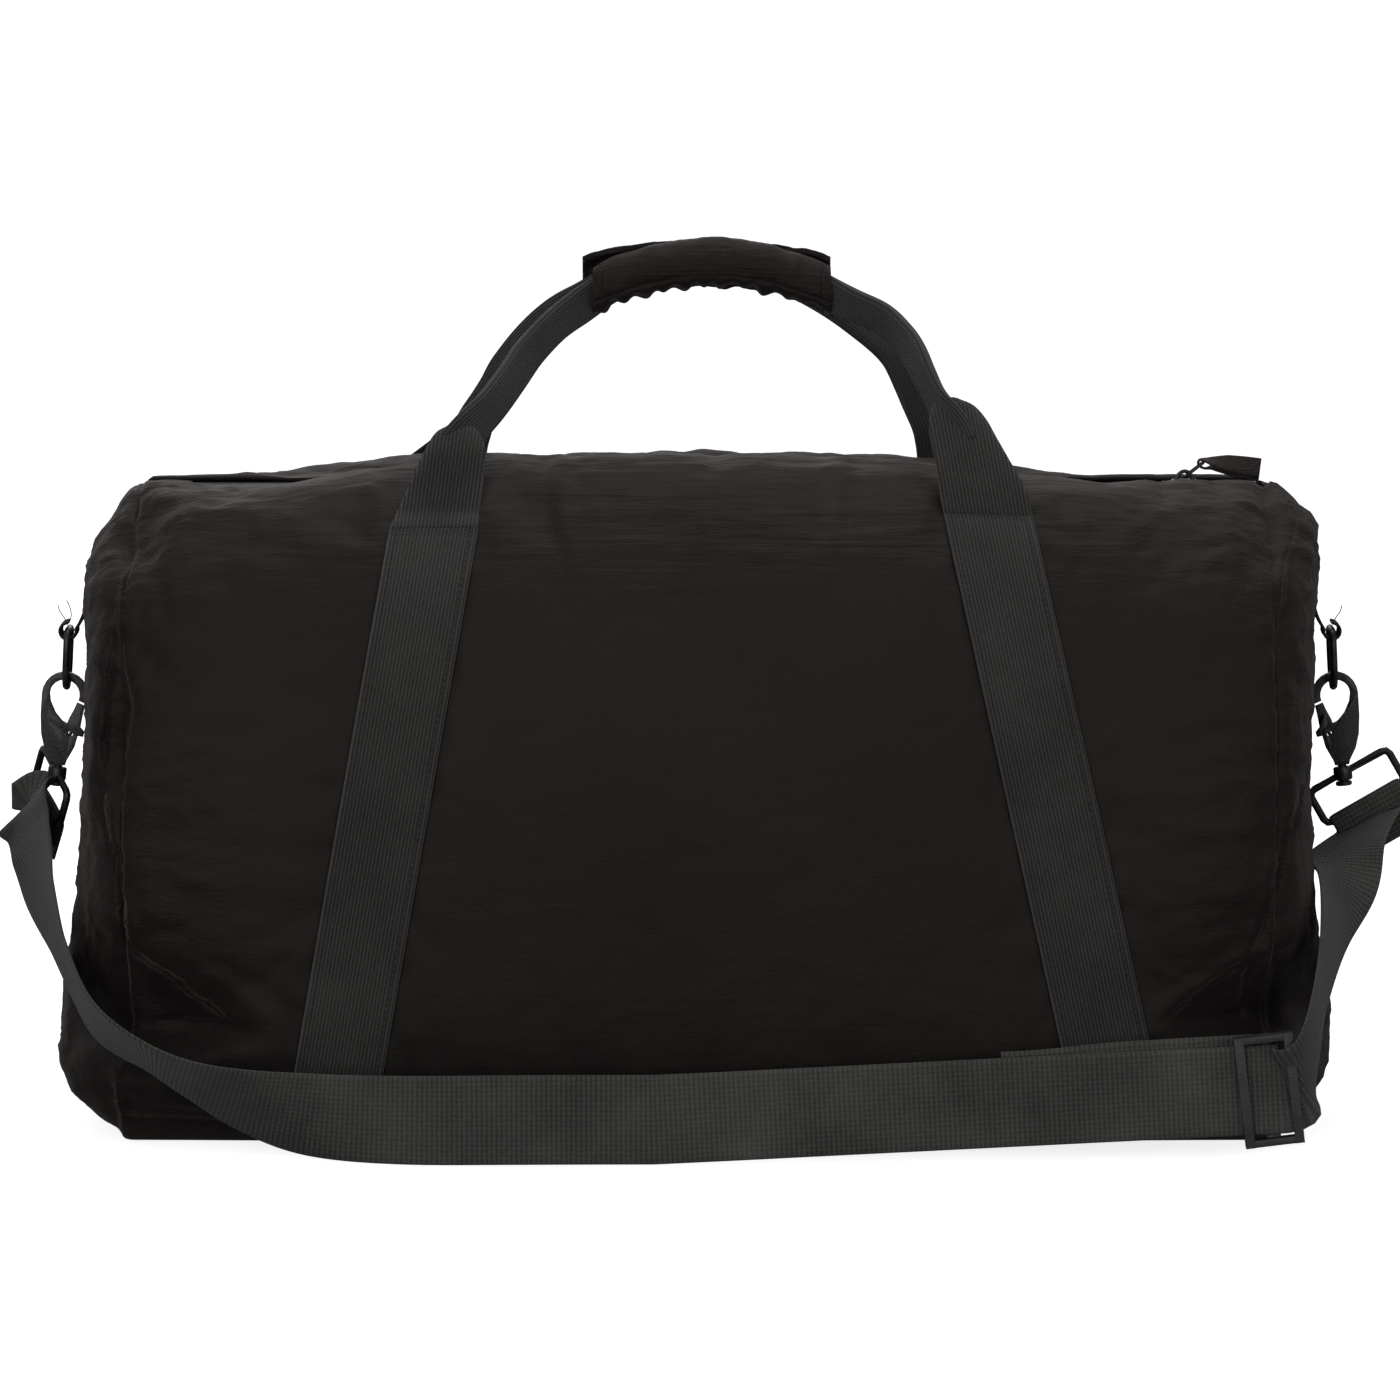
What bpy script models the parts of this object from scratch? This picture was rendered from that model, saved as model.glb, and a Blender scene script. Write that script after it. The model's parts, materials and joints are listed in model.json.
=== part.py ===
"""Barrel duffel bag with two carry handles, a wrap grip, a top zipper and a clip-on shoulder strap.

Metres, +Z up. Origin: centre of the flat base, on the ground. +X runs along the bag to its right
end, -Y is the front. Tables marked "mm" are in millimetres, in the local frame of their piece.
"""

import math
from collections import namedtuple

import bmesh
import bpy
from mathutils import Matrix, Vector

for thing in list(bpy.data.objects):
    bpy.data.objects.remove(thing, do_unlink=True)

# ---------------------------------------------------------------- driving dimensions
SHELL_T = 0.0024        # shell fabric with its padding
SEAM_X = 0.2440         # half length of the bag at its end seams
SEAM_BOW = 0.0030       # how far the end seams bow out at mid height
BAG_TOP = 0.2900        # height over which the seams bow
MID_Z = 0.1400          # height of the middle of the end panels
END_DROP = 0.0180       # how far the long top ridges drop at the ends
END_TUCK = 0.055        # share by which the section narrows at the end seams
ZIP_Z = 0.2748          # height of the zipper plane
ZIP_HALF = 0.2220       # half length of the zipper
WEB_W = 0.0380          # webbing width, all straps
WEB_T = 0.0015          # webbing thickness
WEB_GAP = 0.0006        # clearance under webbing
RING_X = 0.2765         # D-ring bar, distance from the middle of the bag
RING_Z = 0.2115         # D-ring bar height
EYE_Z = 0.1910          # height of the hook eye's top wire, the swing axis of the strap

ENDS = (("left", -1), ("right", 1))         # name, sign along X
LONG_SIDES = (("front", -1), ("rear", 1))   # name, sign along Y

# ---------------------------------------------------------------- materials
Finish = namedtuple("Finish", "colour roughness metallic")
NYLON = Finish(colour=(0.018, 0.016, 0.015), roughness=0.62, metallic=0.0)
WEBBING = Finish(colour=(0.024, 0.023, 0.021), roughness=0.78, metallic=0.0)
METAL = Finish(colour=(0.012, 0.012, 0.012), roughness=0.42, metallic=0.6)
PLASTIC = Finish(colour=(0.020, 0.020, 0.020), roughness=0.50, metallic=0.0)

SHARP_ANGLE = math.radians(38)      # smooth pieces keep edges above this angle sharp


def make_material(name, finish):
    material = bpy.data.materials.new(name)
    material.use_nodes = True
    inputs = material.node_tree.nodes["Principled BSDF"].inputs
    inputs["Base Color"].default_value = (*finish.colour, 1.0)
    inputs["Roughness"].default_value = finish.roughness
    inputs["Metallic"].default_value = finish.metallic
    return material


# ---------------------------------------------------------------- objects
def add(name, mesh, finish, pivot=(0, 0, 0), smooth=True):
    """Makes the object, with its origin on pivot; mesh is a bmesh in world coordinates."""
    bmesh.ops.remove_doubles(mesh, verts=mesh.verts, dist=1e-6)
    bmesh.ops.recalc_face_normals(mesh, faces=mesh.faces)
    if mesh.calc_volume(signed=True) < 0:
        bmesh.ops.reverse_faces(mesh, faces=mesh.faces)
    pivot = Vector(pivot)
    bmesh.ops.translate(mesh, verts=mesh.verts, vec=-pivot)
    data = bpy.data.meshes.new(name)
    mesh.to_mesh(data)
    mesh.free()
    piece = bpy.data.objects.new(name, data)
    piece.location = pivot
    bpy.context.scene.collection.objects.link(piece)
    data.materials.append(make_material(name + "_finish", finish))
    if smooth:
        data.shade_smooth()
        data.set_sharp_from_angle(angle=SHARP_ANGLE)
    return piece


def combine(piece, kind, name, mesh):
    """Adds a hidden helper object and a boolean modifier that applies it to piece."""
    helper = add(name, mesh, PLASTIC, smooth=False)
    helper.hide_render = True
    helper.display_type = "WIRE"
    modifier = piece.modifiers.new(name, "BOOLEAN")
    modifier.operation = kind
    modifier.solver = "EXACT"
    modifier.object = helper


# ---------------------------------------------------------------- solids
def bridge(mesh, first, second):
    """Joins two rings of equal length with quads."""
    count = len(first)
    for k in range(count):
        j = (k + 1) % count
        mesh.faces.new((first[k], first[j], second[j], second[k]))


def tube(sections, closed=False):
    """Joins rings of points into one closed solid; closed joins the last ring to the first."""
    mesh = bmesh.new()
    rings = [[mesh.verts.new(point) for point in section] for section in sections]
    for first, second in zip(rings, rings[1:]):
        bridge(mesh, first, second)
    if closed:
        bridge(mesh, rings[-1], rings[0])
    else:
        mesh.faces.new(list(reversed(rings[0])))
        mesh.faces.new(rings[-1])
    return mesh


def ribbon(path, thick):
    """Strip of webbing along a path of (centre, width direction, half width).

    thick is one thickness, or a list with one for each place on the path.
    """
    sections = []
    last = len(path) - 1
    for k, (centre, across, half_width) in enumerate(path):
        tangent = (path[min(k + 1, last)][0] - path[max(k - 1, 0)][0]).normalized()
        across = (across - tangent * across.dot(tangent)).normalized()
        edge = across * half_width
        half_thick = thick[k] / 2 if isinstance(thick, list) else thick / 2
        lift = tangent.cross(across).normalized() * half_thick
        sections.append([centre + edge + lift, centre + lift, centre - edge + lift,
                         centre - edge - lift, centre - lift, centre + edge - lift])
    return tube(sections)


def rod(path, radius, closed=False, sides=8):
    """Round wire along a path of points."""
    sections = []
    count = len(path)
    up = None
    for k, centre in enumerate(path):
        before = path[(k - 1) % count] if (closed or k) else centre
        after = path[(k + 1) % count] if (closed or k < count - 1) else centre
        tangent = (after - before).normalized()
        if up is None:
            up = tangent.orthogonal().normalized()
        up = (up - tangent * up.dot(tangent)).normalized()
        across = tangent.cross(up)
        angles = [2 * math.pi * j / sides for j in range(sides)]
        sections.append([centre + (up * math.cos(angle) + across * math.sin(angle)) * radius
                         for angle in angles])
    return tube(sections, closed)


def box(low, high):
    mesh = bmesh.new()
    bmesh.ops.create_cube(mesh, size=1.0)
    for vert in mesh.verts:
        vert.co = Vector([(vert.co[i] + 0.5) * (high[i] - low[i]) + low[i] for i in range(3)])
    return mesh


def plate(outline, half_thick, frame):
    """Outline of (x, z) in mm, given thickness along Y and placed with frame."""
    mesh = bmesh.new()
    near, far = [[mesh.verts.new(frame @ Vector((x / 1000, y, z / 1000))) for x, z in outline]
                 for y in (-half_thick, half_thick)]
    mesh.faces.new(near)
    mesh.faces.new(list(reversed(far)))
    for k in range(len(outline)):
        j = (k + 1) % len(outline)
        mesh.faces.new((near[k], far[k], far[j], near[j]))
    return mesh


def turned(profile, frame, sides=16):
    """Solid turned about the frame's Z axis; profile of (radius, z) in mm, ends on the axis."""
    mesh = bmesh.new()
    rings = []
    for radius, z in profile:
        angles = [2 * math.pi * k / sides for k in range(sides)] if radius else [0.0]
        rings.append([mesh.verts.new(frame @ Vector((radius / 1000 * math.cos(angle),
                                                     radius / 1000 * math.sin(angle),
                                                     z / 1000)))
                      for angle in angles])
    for first, second in zip(rings, rings[1:]):
        if len(first) == len(second):
            bridge(mesh, first, second)
            continue
        for k in range(sides):
            j = (k + 1) % sides
            if len(first) == 1:
                mesh.faces.new((first[0], second[j], second[k]))
            else:
                mesh.faces.new((first[k], first[j], second[0]))
    return mesh


def cylinder_profile(radius, half_length):
    """Profile in mm for turned()."""
    return [(0, -half_length), (radius, -half_length), (radius, half_length), (0, half_length)]


# ---------------------------------------------------------------- curves
def catmull_rom(before, start, end, after, t):
    return 0.5 * (2 * start + (end - before) * t
                  + (2 * before - 5 * start + 4 * end - after) * t * t
                  + (3 * start - before - 3 * end + after) * t ** 3)


def spline(points, steps):
    """Catmull-Rom curve through tuples of numbers, with so many steps between knots."""
    curve = []
    last = len(points) - 1
    for i in range(last):
        knots = (points[max(i - 1, 0)], points[i], points[i + 1], points[min(i + 2, last)])
        for step in range(steps):
            curve.append(tuple(catmull_rom(*values, step / steps) for values in zip(*knots)))
    curve.append(tuple(points[-1]))
    return curve


def smooth01(t):
    t = min(max(t, 0.0), 1.0)
    return t * t * (3 - 2 * t)


def arc(x, z, radius, start, end, steps):
    """Points (x, z) round a centre, between two angles in degrees."""
    angles = [math.radians(start + (end - start) * k / steps) for k in range(steps + 1)]
    return [(x + radius * math.cos(angle), z + radius * math.sin(angle)) for angle in angles]


# ---------------------------------------------------------------- the skin of the bag
# half section, from the flat base up to the zipper: distance from the middle plane, height
SECTION = [
    (0.0, 0.0), (0.052, 0.0), (0.100, 0.0), (0.118, 0.0035), (0.131, 0.015),
    (0.1385, 0.040), (0.1425, 0.085), (0.1430, 0.135), (0.1395, 0.180), (0.1310, 0.222),
    (0.1160, 0.254), (0.0930, 0.276), (0.0620, 0.2862), (0.0400, 0.2850), (0.0170, 0.2752)]
PROFILE = spline(SECTION, 2)
TOP_PLACE = len(PROFILE) - 1

# A "place" is a fractional index into PROFILE.
BOTTOM_EDGE = 6         # place where the bottom panel meets the front and back
EDGE_GAP = 0.12         # each panel stops this share of a place short of it
# cross sections along the bag, as shares of its half length
STATIONS = [-1, -0.93, -0.84, -0.7, -0.45, 0, 0.45, 0.7, 0.84, 0.93, 1]


def seam_x(z):
    return SEAM_X + SEAM_BOW * math.sin(math.pi * min(max(z / BAG_TOP, 0), 1))


def skin(x, place, side, offset=0.0):
    """A point of the bag's surface at x and place, moved outwards by offset."""
    place = min(max(place, 0.0), TOP_PLACE)
    low = min(int(place), TOP_PLACE - 1)
    share = place - low
    (y0, z0), (y1, z1) = PROFILE[low], PROFILE[low + 1]
    y = y0 + (y1 - y0) * share
    z = z0 + (z1 - z0) * share
    before = PROFILE[max(low - (1 if share < 0.5 else 0), 0)]
    after = PROFILE[min(low + (2 if share >= 0.5 else 1), TOP_PLACE)]
    rise_y, rise_z = after[0] - before[0], after[1] - before[1]
    length = math.hypot(rise_y, rise_z)
    y += rise_z / length * offset
    z -= rise_y / length * offset
    # the ridges drop and the section narrows towards the end seams
    reach = min(abs(x) / seam_x(z), 1.0)
    z -= END_DROP * reach ** 5 * smooth01((y - 0.018) / 0.05) * smooth01((z - 0.13) / 0.14)
    y *= 1 - END_TUCK * reach ** 6 * smooth01((y - 0.03) / 0.07)
    return Vector((x, side * y, z))


def place_at_height(height):
    """Place on the upright part of the half section that stands at a height."""
    for k in range(BOTTOM_EDGE, TOP_PLACE):
        z0, z1 = PROFILE[k][1], PROFILE[k + 1][1]
        if z1 >= height:
            return k + (height - z0) / (z1 - z0)
    return float(TOP_PLACE)


# ---------------------------------------------------------------- shell panels
SEAM_GAP = 0.0005       # clearance between the long panels' ends and the end panels
DOME_TOP = 0.0162       # bulge of the end panels, upper half
DOME_LOW = 0.0118       # extra bulge near the bottom
DOME_POWER = 4.5        # how flat the dome stays before it falls to the seam
OUTER_SCALES = (1.0, 0.95, 0.87, 0.74, 0.5, 0.2)    # rings of an end panel, seam to middle
INNER_SCALES = (0.2, 0.5, 0.74, 0.87, 0.935)        # the same inside, middle to seam
RIM_SCALE = 0.955       # inner edge of its flat rim

BINDING_X = 0.2375      # section that the seam binding follows
BINDING_DEPTH = 0.0035  # its distance inside the shell
BINDING_INSET = 0.0060  # its distance from the seam along the bag
BINDING_TUCK = 0.985    # narrows it across the bag
BINDING_HALF_W = 0.0035
BINDING_T = 0.0012


def long_panel(side):
    places = [BOTTOM_EDGE + EDGE_GAP] + list(range(BOTTOM_EDGE + 1, TOP_PLACE + 1))
    rows = []
    for station in STATIONS:
        spots = [(station * seam_x(skin(0, place, side).z), place) for place in places]
        outer = [skin(x, place, side) for x, place in spots]
        inner = [skin(x, place, side, -SHELL_T) for x, place in reversed(spots)]
        rows.append(outer + inner)
    return tube(rows)


def bottom_panel():
    places = [BOTTOM_EDGE - EDGE_GAP, 5, 4]
    rows = []
    for station in STATIONS:
        x = station * seam_x(0.002)
        outer = [skin(x, place, -1) for place in places]
        outer += [skin(x, place, 1) for place in reversed(places)]
        rows.append(outer + [point + Vector((0, 0, SHELL_T)) for point in reversed(outer)])
    return tube(rows)


def end_ring(end, scale, offset=0.0):
    """Ring of an end panel: the end seam's outline shrunk towards its middle, offset outwards."""
    ring = []
    around = [(place, -1) for place in range(TOP_PLACE + 1)]
    around += [(place, 1) for place in range(TOP_PLACE, 0, -1)]
    for place, side in around:
        seam = skin(seam_x(PROFILE[place][1]), place, side)
        z = MID_Z + (seam.z - MID_Z) * scale
        bulge = DOME_TOP + DOME_LOW * smooth01((0.112 - z) / 0.080)
        x = seam_x(seam.z) + SEAM_GAP + bulge * (1 - scale ** DOME_POWER) + offset
        ring.append(Vector((end * x, seam.y * scale, z)))
    return ring


def end_panel(end):
    outer = [end_ring(end, scale) for scale in OUTER_SCALES]
    inner = [end_ring(end, scale, -SHELL_T) for scale in INNER_SCALES]
    rim = end_ring(end, RIM_SCALE)
    for point, seam_point in zip(rim, outer[0]):
        point.x = seam_point.x
    mesh = bmesh.new()
    front, back = [[[mesh.verts.new(point) for point in ring] for ring in rings]
                   for rings in (outer, inner + [rim])]
    for rings in (front, back, [back[-1], front[0]]):
        for first, second in zip(rings, rings[1:]):
            bridge(mesh, first, second)
    mesh.faces.new(front[-1])
    mesh.faces.new(list(reversed(back[0])))
    return mesh


def seam_binding(end):
    """Binding tape inside the bag, round the end seam."""
    around = [(place, -1) for place in range(2, 27, 2)]
    around += [(place, 1) for place in range(26, 1, -2)]
    along = Vector((BINDING_HALF_W, 0, 0))
    sections = []
    for place, side in around:
        inside = skin(end * BINDING_X, place, side, -(SHELL_T + BINDING_DEPTH))
        x = end * (seam_x(inside.z) - BINDING_INSET)
        centre = Vector((x, inside.y * BINDING_TUCK, inside.z))
        inward = (Vector((x, 0, MID_Z)) - centre).normalized() * BINDING_T
        sections.append([centre + along, centre + inward + along,
                         centre + inward - along, centre - along])
    return tube(sections, closed=True)


def build_shell():
    add("front_panel", long_panel(-1), NYLON)
    add("back_panel", long_panel(1), NYLON)
    add("bottom_panel", bottom_panel(), NYLON)
    for label, end in ENDS:
        add("end_panel_" + label, end_panel(end), NYLON)
        add("seam_binding_" + label, seam_binding(end), WEBBING, smooth=False)


# ---------------------------------------------------------------- base board and lining
BOARD_LOW = (-0.232, -0.098, 0.0030)
BOARD_HIGH = (0.232, 0.098, 0.0058)
LINING_T = 0.0012
LINING_SIDES = 28
LINING_POWER = 0.35     # squareness of the lining's plan; 1 would be an ellipse
# half length, half width, height
LINING_RINGS = [
    (0.222, 0.100, 0.0064), (0.229, 0.118, 0.022), (0.231, 0.1255, 0.060),
    (0.232, 0.1275, 0.135), (0.231, 0.1215, 0.190), (0.227, 0.1060, 0.230),
    (0.222, 0.078, 0.254), (0.219, 0.040, 0.2640)]


def lining_ring(half_x, half_y, z):
    """Ring with the plan of a rounded rectangle."""
    ring = []
    for k in range(LINING_SIDES):
        angle = 2 * math.pi * k / LINING_SIDES
        cosine, sine = math.cos(angle), math.sin(angle)
        ring.append(Vector((half_x * math.copysign(abs(cosine) ** LINING_POWER, cosine),
                            half_y * math.copysign(abs(sine) ** LINING_POWER, sine), z)))
    return ring


def lining():
    """Open-topped cup with a wall and a floor."""
    outer = [lining_ring(*ring) for ring in LINING_RINGS]
    inner = [lining_ring(half_x - LINING_T, half_y - LINING_T, z + (0.0 if k else LINING_T))
             for k, (half_x, half_y, z) in enumerate(LINING_RINGS)]
    return tube(outer + inner[::-1])


def build_inside():
    add("base_board", box(BOARD_LOW, BOARD_HIGH), PLASTIC, smooth=False)
    add("lining", lining(), NYLON)


# ---------------------------------------------------------------- the zipper
TAPE_INNER_Y = 0.0031
TAPE_OUTER_Y = 0.0165
COIL_Y = 0.0017
COIL_R = 0.0009
END_TAB_HALF_W = 0.0160
END_TAB_GAP = 0.0012            # from the zipper's end to the tab
END_TAB_INSET = 0.0010          # from the tab to the end seam
TAPE_LOW = 0.0006               # tapes and end tabs reach this far below the zipper plane

ZIP_SLIDER_X = 0.2120           # the closed slider stands near the right end
ZIP_SLIDER_HALF_L = 0.0065
ZIP_SLIDER_HALF_W = 0.0046
# (x, z) mm from the slider's middle
ZIP_SLIDER_TOP = [(-6.5, 1.5), (-5.0, 2.8), (5.0, 2.8), (6.5, 1.5), (6.5, 1.4), (-6.5, 1.4)]
CROWN_HALF_L = 0.0035
CROWN_RISE = 0.0042
CROWN_BASE = 0.0022             # height of the crown's feet above the zipper plane
CROWN_R = 0.0009

PULLER_LEAN = math.radians(-38)
PULLER_R = 0.0006
# wire bail, (x, y) mm from the puller's pivot
BAIL = [(0, -2.1), (0, 2.1), (0.735, 2.73), (2.1, 2.835), (8.4, 2.835), (9.66, 2.31),
        (10.08, 0), (9.66, -2.31), (8.4, -2.835), (2.1, -2.835), (0.735, -2.73)]
PULL_TAB_T = 0.0010
# tape folded round the bail, x, z and half width, mm from the puller's pivot
PULL_TAB = [(28.0, 0.9, 4.5), (12.0, 1.0, 4.5), (9.4, 1.9, 4.5), (7.9, 1.3, 2.2),
            (7.6, 0.0, 2.2), (7.9, -1.3, 2.2), (9.4, -1.9, 4.5), (12.0, -1.0, 4.5),
            (28.0, -0.9, 4.5)]


def zip_tape(side):
    y0, y1 = sorted((side * TAPE_INNER_Y, side * TAPE_OUTER_Y))
    z0, z1 = ZIP_Z - TAPE_LOW, ZIP_Z + 0.0004
    return tube([[Vector((x, y, z)) for y, z in ((y0, z0), (y1, z0), (y1, z1), (y0, z1))]
                 for x in (-ZIP_HALF, 0, ZIP_HALF)])


def zip_end_tab(end):
    x0, x1 = sorted((end * (ZIP_HALF + END_TAB_GAP), end * (SEAM_X - END_TAB_INSET)))
    return box((x0, -END_TAB_HALF_W, ZIP_Z - TAPE_LOW), (x1, END_TAB_HALF_W, ZIP_Z + TAPE_LOW))


def build_zip_slider():
    x = ZIP_SLIDER_X
    middle = (x, 0, ZIP_Z)
    slider = add("zip_slider",
                 plate(ZIP_SLIDER_TOP, ZIP_SLIDER_HALF_W, Matrix.Translation(middle)),
                 METAL, pivot=middle, smooth=False)
    foot = box((x - ZIP_SLIDER_HALF_L, -ZIP_SLIDER_HALF_W, ZIP_Z - 0.0026),
               (x + ZIP_SLIDER_HALF_L, ZIP_SLIDER_HALF_W, ZIP_Z - 0.0014))
    combine(slider, "UNION", "slider_foot", foot)
    wedge = box((x + 0.0015, -0.0004, ZIP_Z - 0.0020), (x + 0.0060, 0.0004, ZIP_Z + 0.0020))
    combine(slider, "UNION", "slider_wedge", wedge)
    crown = []
    for k in range(9):
        angle = math.pi * k / 8
        crown.append(Vector((x - CROWN_HALF_L * math.cos(angle), 0,
                             ZIP_Z + CROWN_BASE + CROWN_RISE * math.sin(angle))))
    combine(slider, "UNION", "slider_crown", rod(crown, CROWN_R))


def build_zip_puller():
    """Wire bail through the slider's crown, with a folded tape tab on it."""
    pivot = Vector((ZIP_SLIDER_X + 0.0004, 0, ZIP_Z + 0.0042))
    frame = Matrix.Translation(pivot) @ Matrix.Rotation(PULLER_LEAN, 4, "Y")
    bail = [frame @ Vector((x / 1000, y / 1000, 0)) for x, y in BAIL]
    add("zip_puller", rod(bail, PULLER_R, closed=True, sides=6), METAL, pivot=pivot)
    tab = [(frame @ Vector((x / 1000, 0, z / 1000)), Vector((0, 1, 0)), half_width / 1000)
           for x, z, half_width in PULL_TAB]
    add("zip_pull_tab", ribbon(tab, PULL_TAB_T), WEBBING, pivot=pivot, smooth=False)


def build_zipper():
    for label, side in LONG_SIDES:
        add("zip_tape_" + label, zip_tape(side), WEBBING, smooth=False)
    for label, side in LONG_SIDES:
        coil = [Vector((x, side * COIL_Y, ZIP_Z)) for x in (-ZIP_HALF, 0, ZIP_HALF)]
        add("zip_coil_" + label, rod(coil, COIL_R), PLASTIC)
    for label, end in ENDS:
        add("zip_end_tab_" + label, zip_end_tab(end), NYLON, smooth=False)
    build_zip_slider()
    build_zip_puller()


# ---------------------------------------------------------------- sewn webbing and handles
STITCH_Z = 0.2690       # height of the cross stitching under the handles
SEWN_LOW_Z = 0.012      # height at which the low end of the sewn webbing is placed
# x of the webbing at the stitching and at the base
SEWN_X = {
    "front": {"left": (-0.1150, -0.1600), "right": (0.1230, 0.1830)},
    "rear": {"left": (-0.1180, -0.1640), "right": (0.1200, 0.1790)}}

GRIP_X = 0.0545         # half length of the grip wrap
GRIP_XC = 0.0030        # its middle
GRIP_Z = 0.3690         # height of its centre line
GRIP_ARCH = 0.0100      # drop of the centre line at its ends

# Handle from its foot up towards the grip. Columns: distance in from the foot along X, distance
# in from the stitching along Y, height above the stitching, half width, thickness.
LEFT_RISE = [
    (0.0, 0.0002, 0.0034, 0.0186, 0.0015), (0.002, 0.0012, 0.012, 0.0185, 0.0015),
    (0.010, 0.0090, 0.031, 0.0150, 0.0020), (0.023, 0.034, 0.055, 0.0098, 0.0040),
    (0.042, 0.066, 0.077, 0.0088, 0.0044)]
RIGHT_RISE = [
    (0.0, 0.0002, 0.0034, 0.0186, 0.0015), (0.002, 0.0012, 0.012, 0.0185, 0.0015),
    (0.0105, 0.0110, 0.0345, 0.0150, 0.0020), (0.0225, 0.036, 0.0600, 0.0098, 0.0040),
    (0.038, 0.062, 0.0815, 0.0088, 0.0044)]
# handle in the grip: distance from the grip's middle along X, distance from the middle plane
GRIP_RUN = [(-GRIP_X - 0.004, 0.0085), (-0.030, 0.0048), (0.0, 0.0048), (0.030, 0.0048),
            (GRIP_X + 0.004, 0.0085)]
FOLDED_HALF_W = 0.0083
FOLDED_T = 0.0044

LEAF_GAP = 0.0008               # from the middle plane to a grip leaf
LEAF_OUTER = (0.0165, 0.0145)   # radii across and up
LEAF_INNER = (0.0130, 0.0112)
CLOSURE_HALF_L = 0.040
# distance from the middle plane, height from the grip's centre line
CLOSURE_SECTION = [(0.0010, -0.0100), (0.0052, -0.0098), (0.0052, -0.0090), (0.0010, -0.0092)]


def sewn_strap(side, x_top, x_low):
    """Webbing sewn flat on a long panel, spreading towards the base."""
    low, high = place_at_height(SEWN_LOW_Z), place_at_height(STITCH_Z)
    rows = []
    for place in [low] + list(range(int(low) + 1, int(high) + 1)) + [high]:
        centre = x_low + (x_top - x_low) * (skin(0, place, side).z / STITCH_Z)
        row = []
        for offset, shares in ((WEB_GAP, (-1, -0.33, 0.33, 1)),
                               (WEB_GAP + WEB_T, (1, 0.33, -0.33, -1))):
            row += [skin(centre + share * WEB_W / 2, place, side, offset) for share in shares]
        rows.append(row)
    return tube(rows)


def grip_z(x):
    return GRIP_Z - GRIP_ARCH * ((x - GRIP_XC) / GRIP_X) ** 2


def handle(side, x_left, x_right):
    """Carry handle: flat webbing at its feet, folded lengthwise in half towards the grip."""
    stitch = skin(0, place_at_height(STITCH_Z), 1, WEB_GAP + WEB_T / 2)
    left, right = [[(foot + inward * dx, stitch.y - dy, stitch.z + dz, half_width, thick)
                    for dx, dy, dz, half_width, thick in rise]
                   for foot, inward, rise in ((x_left, 1, LEFT_RISE), (x_right, -1, RIGHT_RISE))]
    grip = [(GRIP_XC + dx, y, grip_z(GRIP_XC + dx), FOLDED_HALF_W, FOLDED_T)
            for dx, y in GRIP_RUN]
    curve = spline(left + grip + right[::-1], 3)
    centres = [Vector((x, side * y, z)) for x, y, z, _, _ in curve]
    path = []
    last = len(curve) - 1
    for k, centre in enumerate(centres):
        tangent = (centres[min(k + 1, last)] - centres[max(k - 1, 0)]).normalized()
        if k in (0, last):
            tangent = Vector((0, tangent.y, tangent.z)).normalized()
        normal = (Vector((0, 1, 0)) - tangent * tangent.y).normalized()
        path.append((centre, tangent.cross(normal), curve[k][3]))
    return ribbon(path, [knot[4] for knot in curve])


def grip_leaf(side):
    """Half of the padded wrap that joins the two handles."""
    rows = []
    for k in range(9):
        x = GRIP_XC - GRIP_X + 2 * GRIP_X * k / 8
        slope = -2 * GRIP_ARCH * (x - GRIP_XC) / GRIP_X ** 2
        tangent = Vector((1, 0, slope)).normalized()
        up = Vector((-tangent.z, 0, tangent.x))
        centre = Vector((x, 0, grip_z(x)))
        ring = []
        for (across, rise), order in ((LEAF_OUTER, range(9)), (LEAF_INNER, range(8, -1, -1))):
            for j in order:
                angle = -math.pi / 2 + math.pi * j / 8
                y = side * (LEAF_GAP + across * math.cos(angle))
                ring.append(centre + Vector((0, y, 0)) + up * rise * math.sin(angle))
        rows.append(ring)
    return tube(rows)


def grip_closure(side):
    """Hook or loop strip inside the lower part of a grip leaf."""
    rows = []
    for k in range(7):
        x = GRIP_XC - CLOSURE_HALF_L + 2 * CLOSURE_HALF_L * k / 6
        rows.append([Vector((x, side * y, grip_z(x) + dz)) for y, dz in CLOSURE_SECTION])
    return tube(rows)


def build_handles():
    for label, side in LONG_SIDES:
        for end, (x_top, x_low) in SEWN_X[label].items():
            add(f"{label}_strap_{end}", sewn_strap(side, x_top, x_low), WEBBING, smooth=False)
    for (label, side), strip in zip(LONG_SIDES, ("hook", "loop")):
        # a handle and its half of the grip swing about a line just above the stitching
        pivot = skin(0, place_at_height(STITCH_Z + 0.0016), side, 0.0024)
        x_left, x_right = SEWN_X[label]["left"][0], SEWN_X[label]["right"][0]
        add(label + "_handle", handle(side, x_left, x_right), WEBBING, pivot=pivot, smooth=False)
        add("grip_leaf_" + label, grip_leaf(side), NYLON, pivot=pivot)
        add(f"grip_{strip}_strip", grip_closure(side), PLASTIC, pivot=pivot, smooth=False)


# ---------------------------------------------------------------- D-rings and their tape loops
RING_R = 0.00165        # D-ring wire radius
RING_HALF = 0.0114      # half width of the D-ring
RING_DROP = 0.0250      # bar to bottom wire
RING_SWING = math.radians(2.7)
RING_TAB_T = 0.0014
RING_TAB_HALF_W = 0.0095
# tape from the end panel down and round the bar, (x, z) mm from the bar, x away from the bag
RING_TAB = [(-10.6, 28.0), (-8.9, 16.0), (-6.8, 7.5)] + arc(0, 0, 3.6, 165, 450, 12)


def d_ring_tab(end):
    return ribbon([(Vector((end * (RING_X + x / 1000), 0, RING_Z + z / 1000)),
                    Vector((0, 1, 0)), RING_TAB_HALF_W) for x, z in RING_TAB], RING_TAB_T)


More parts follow.
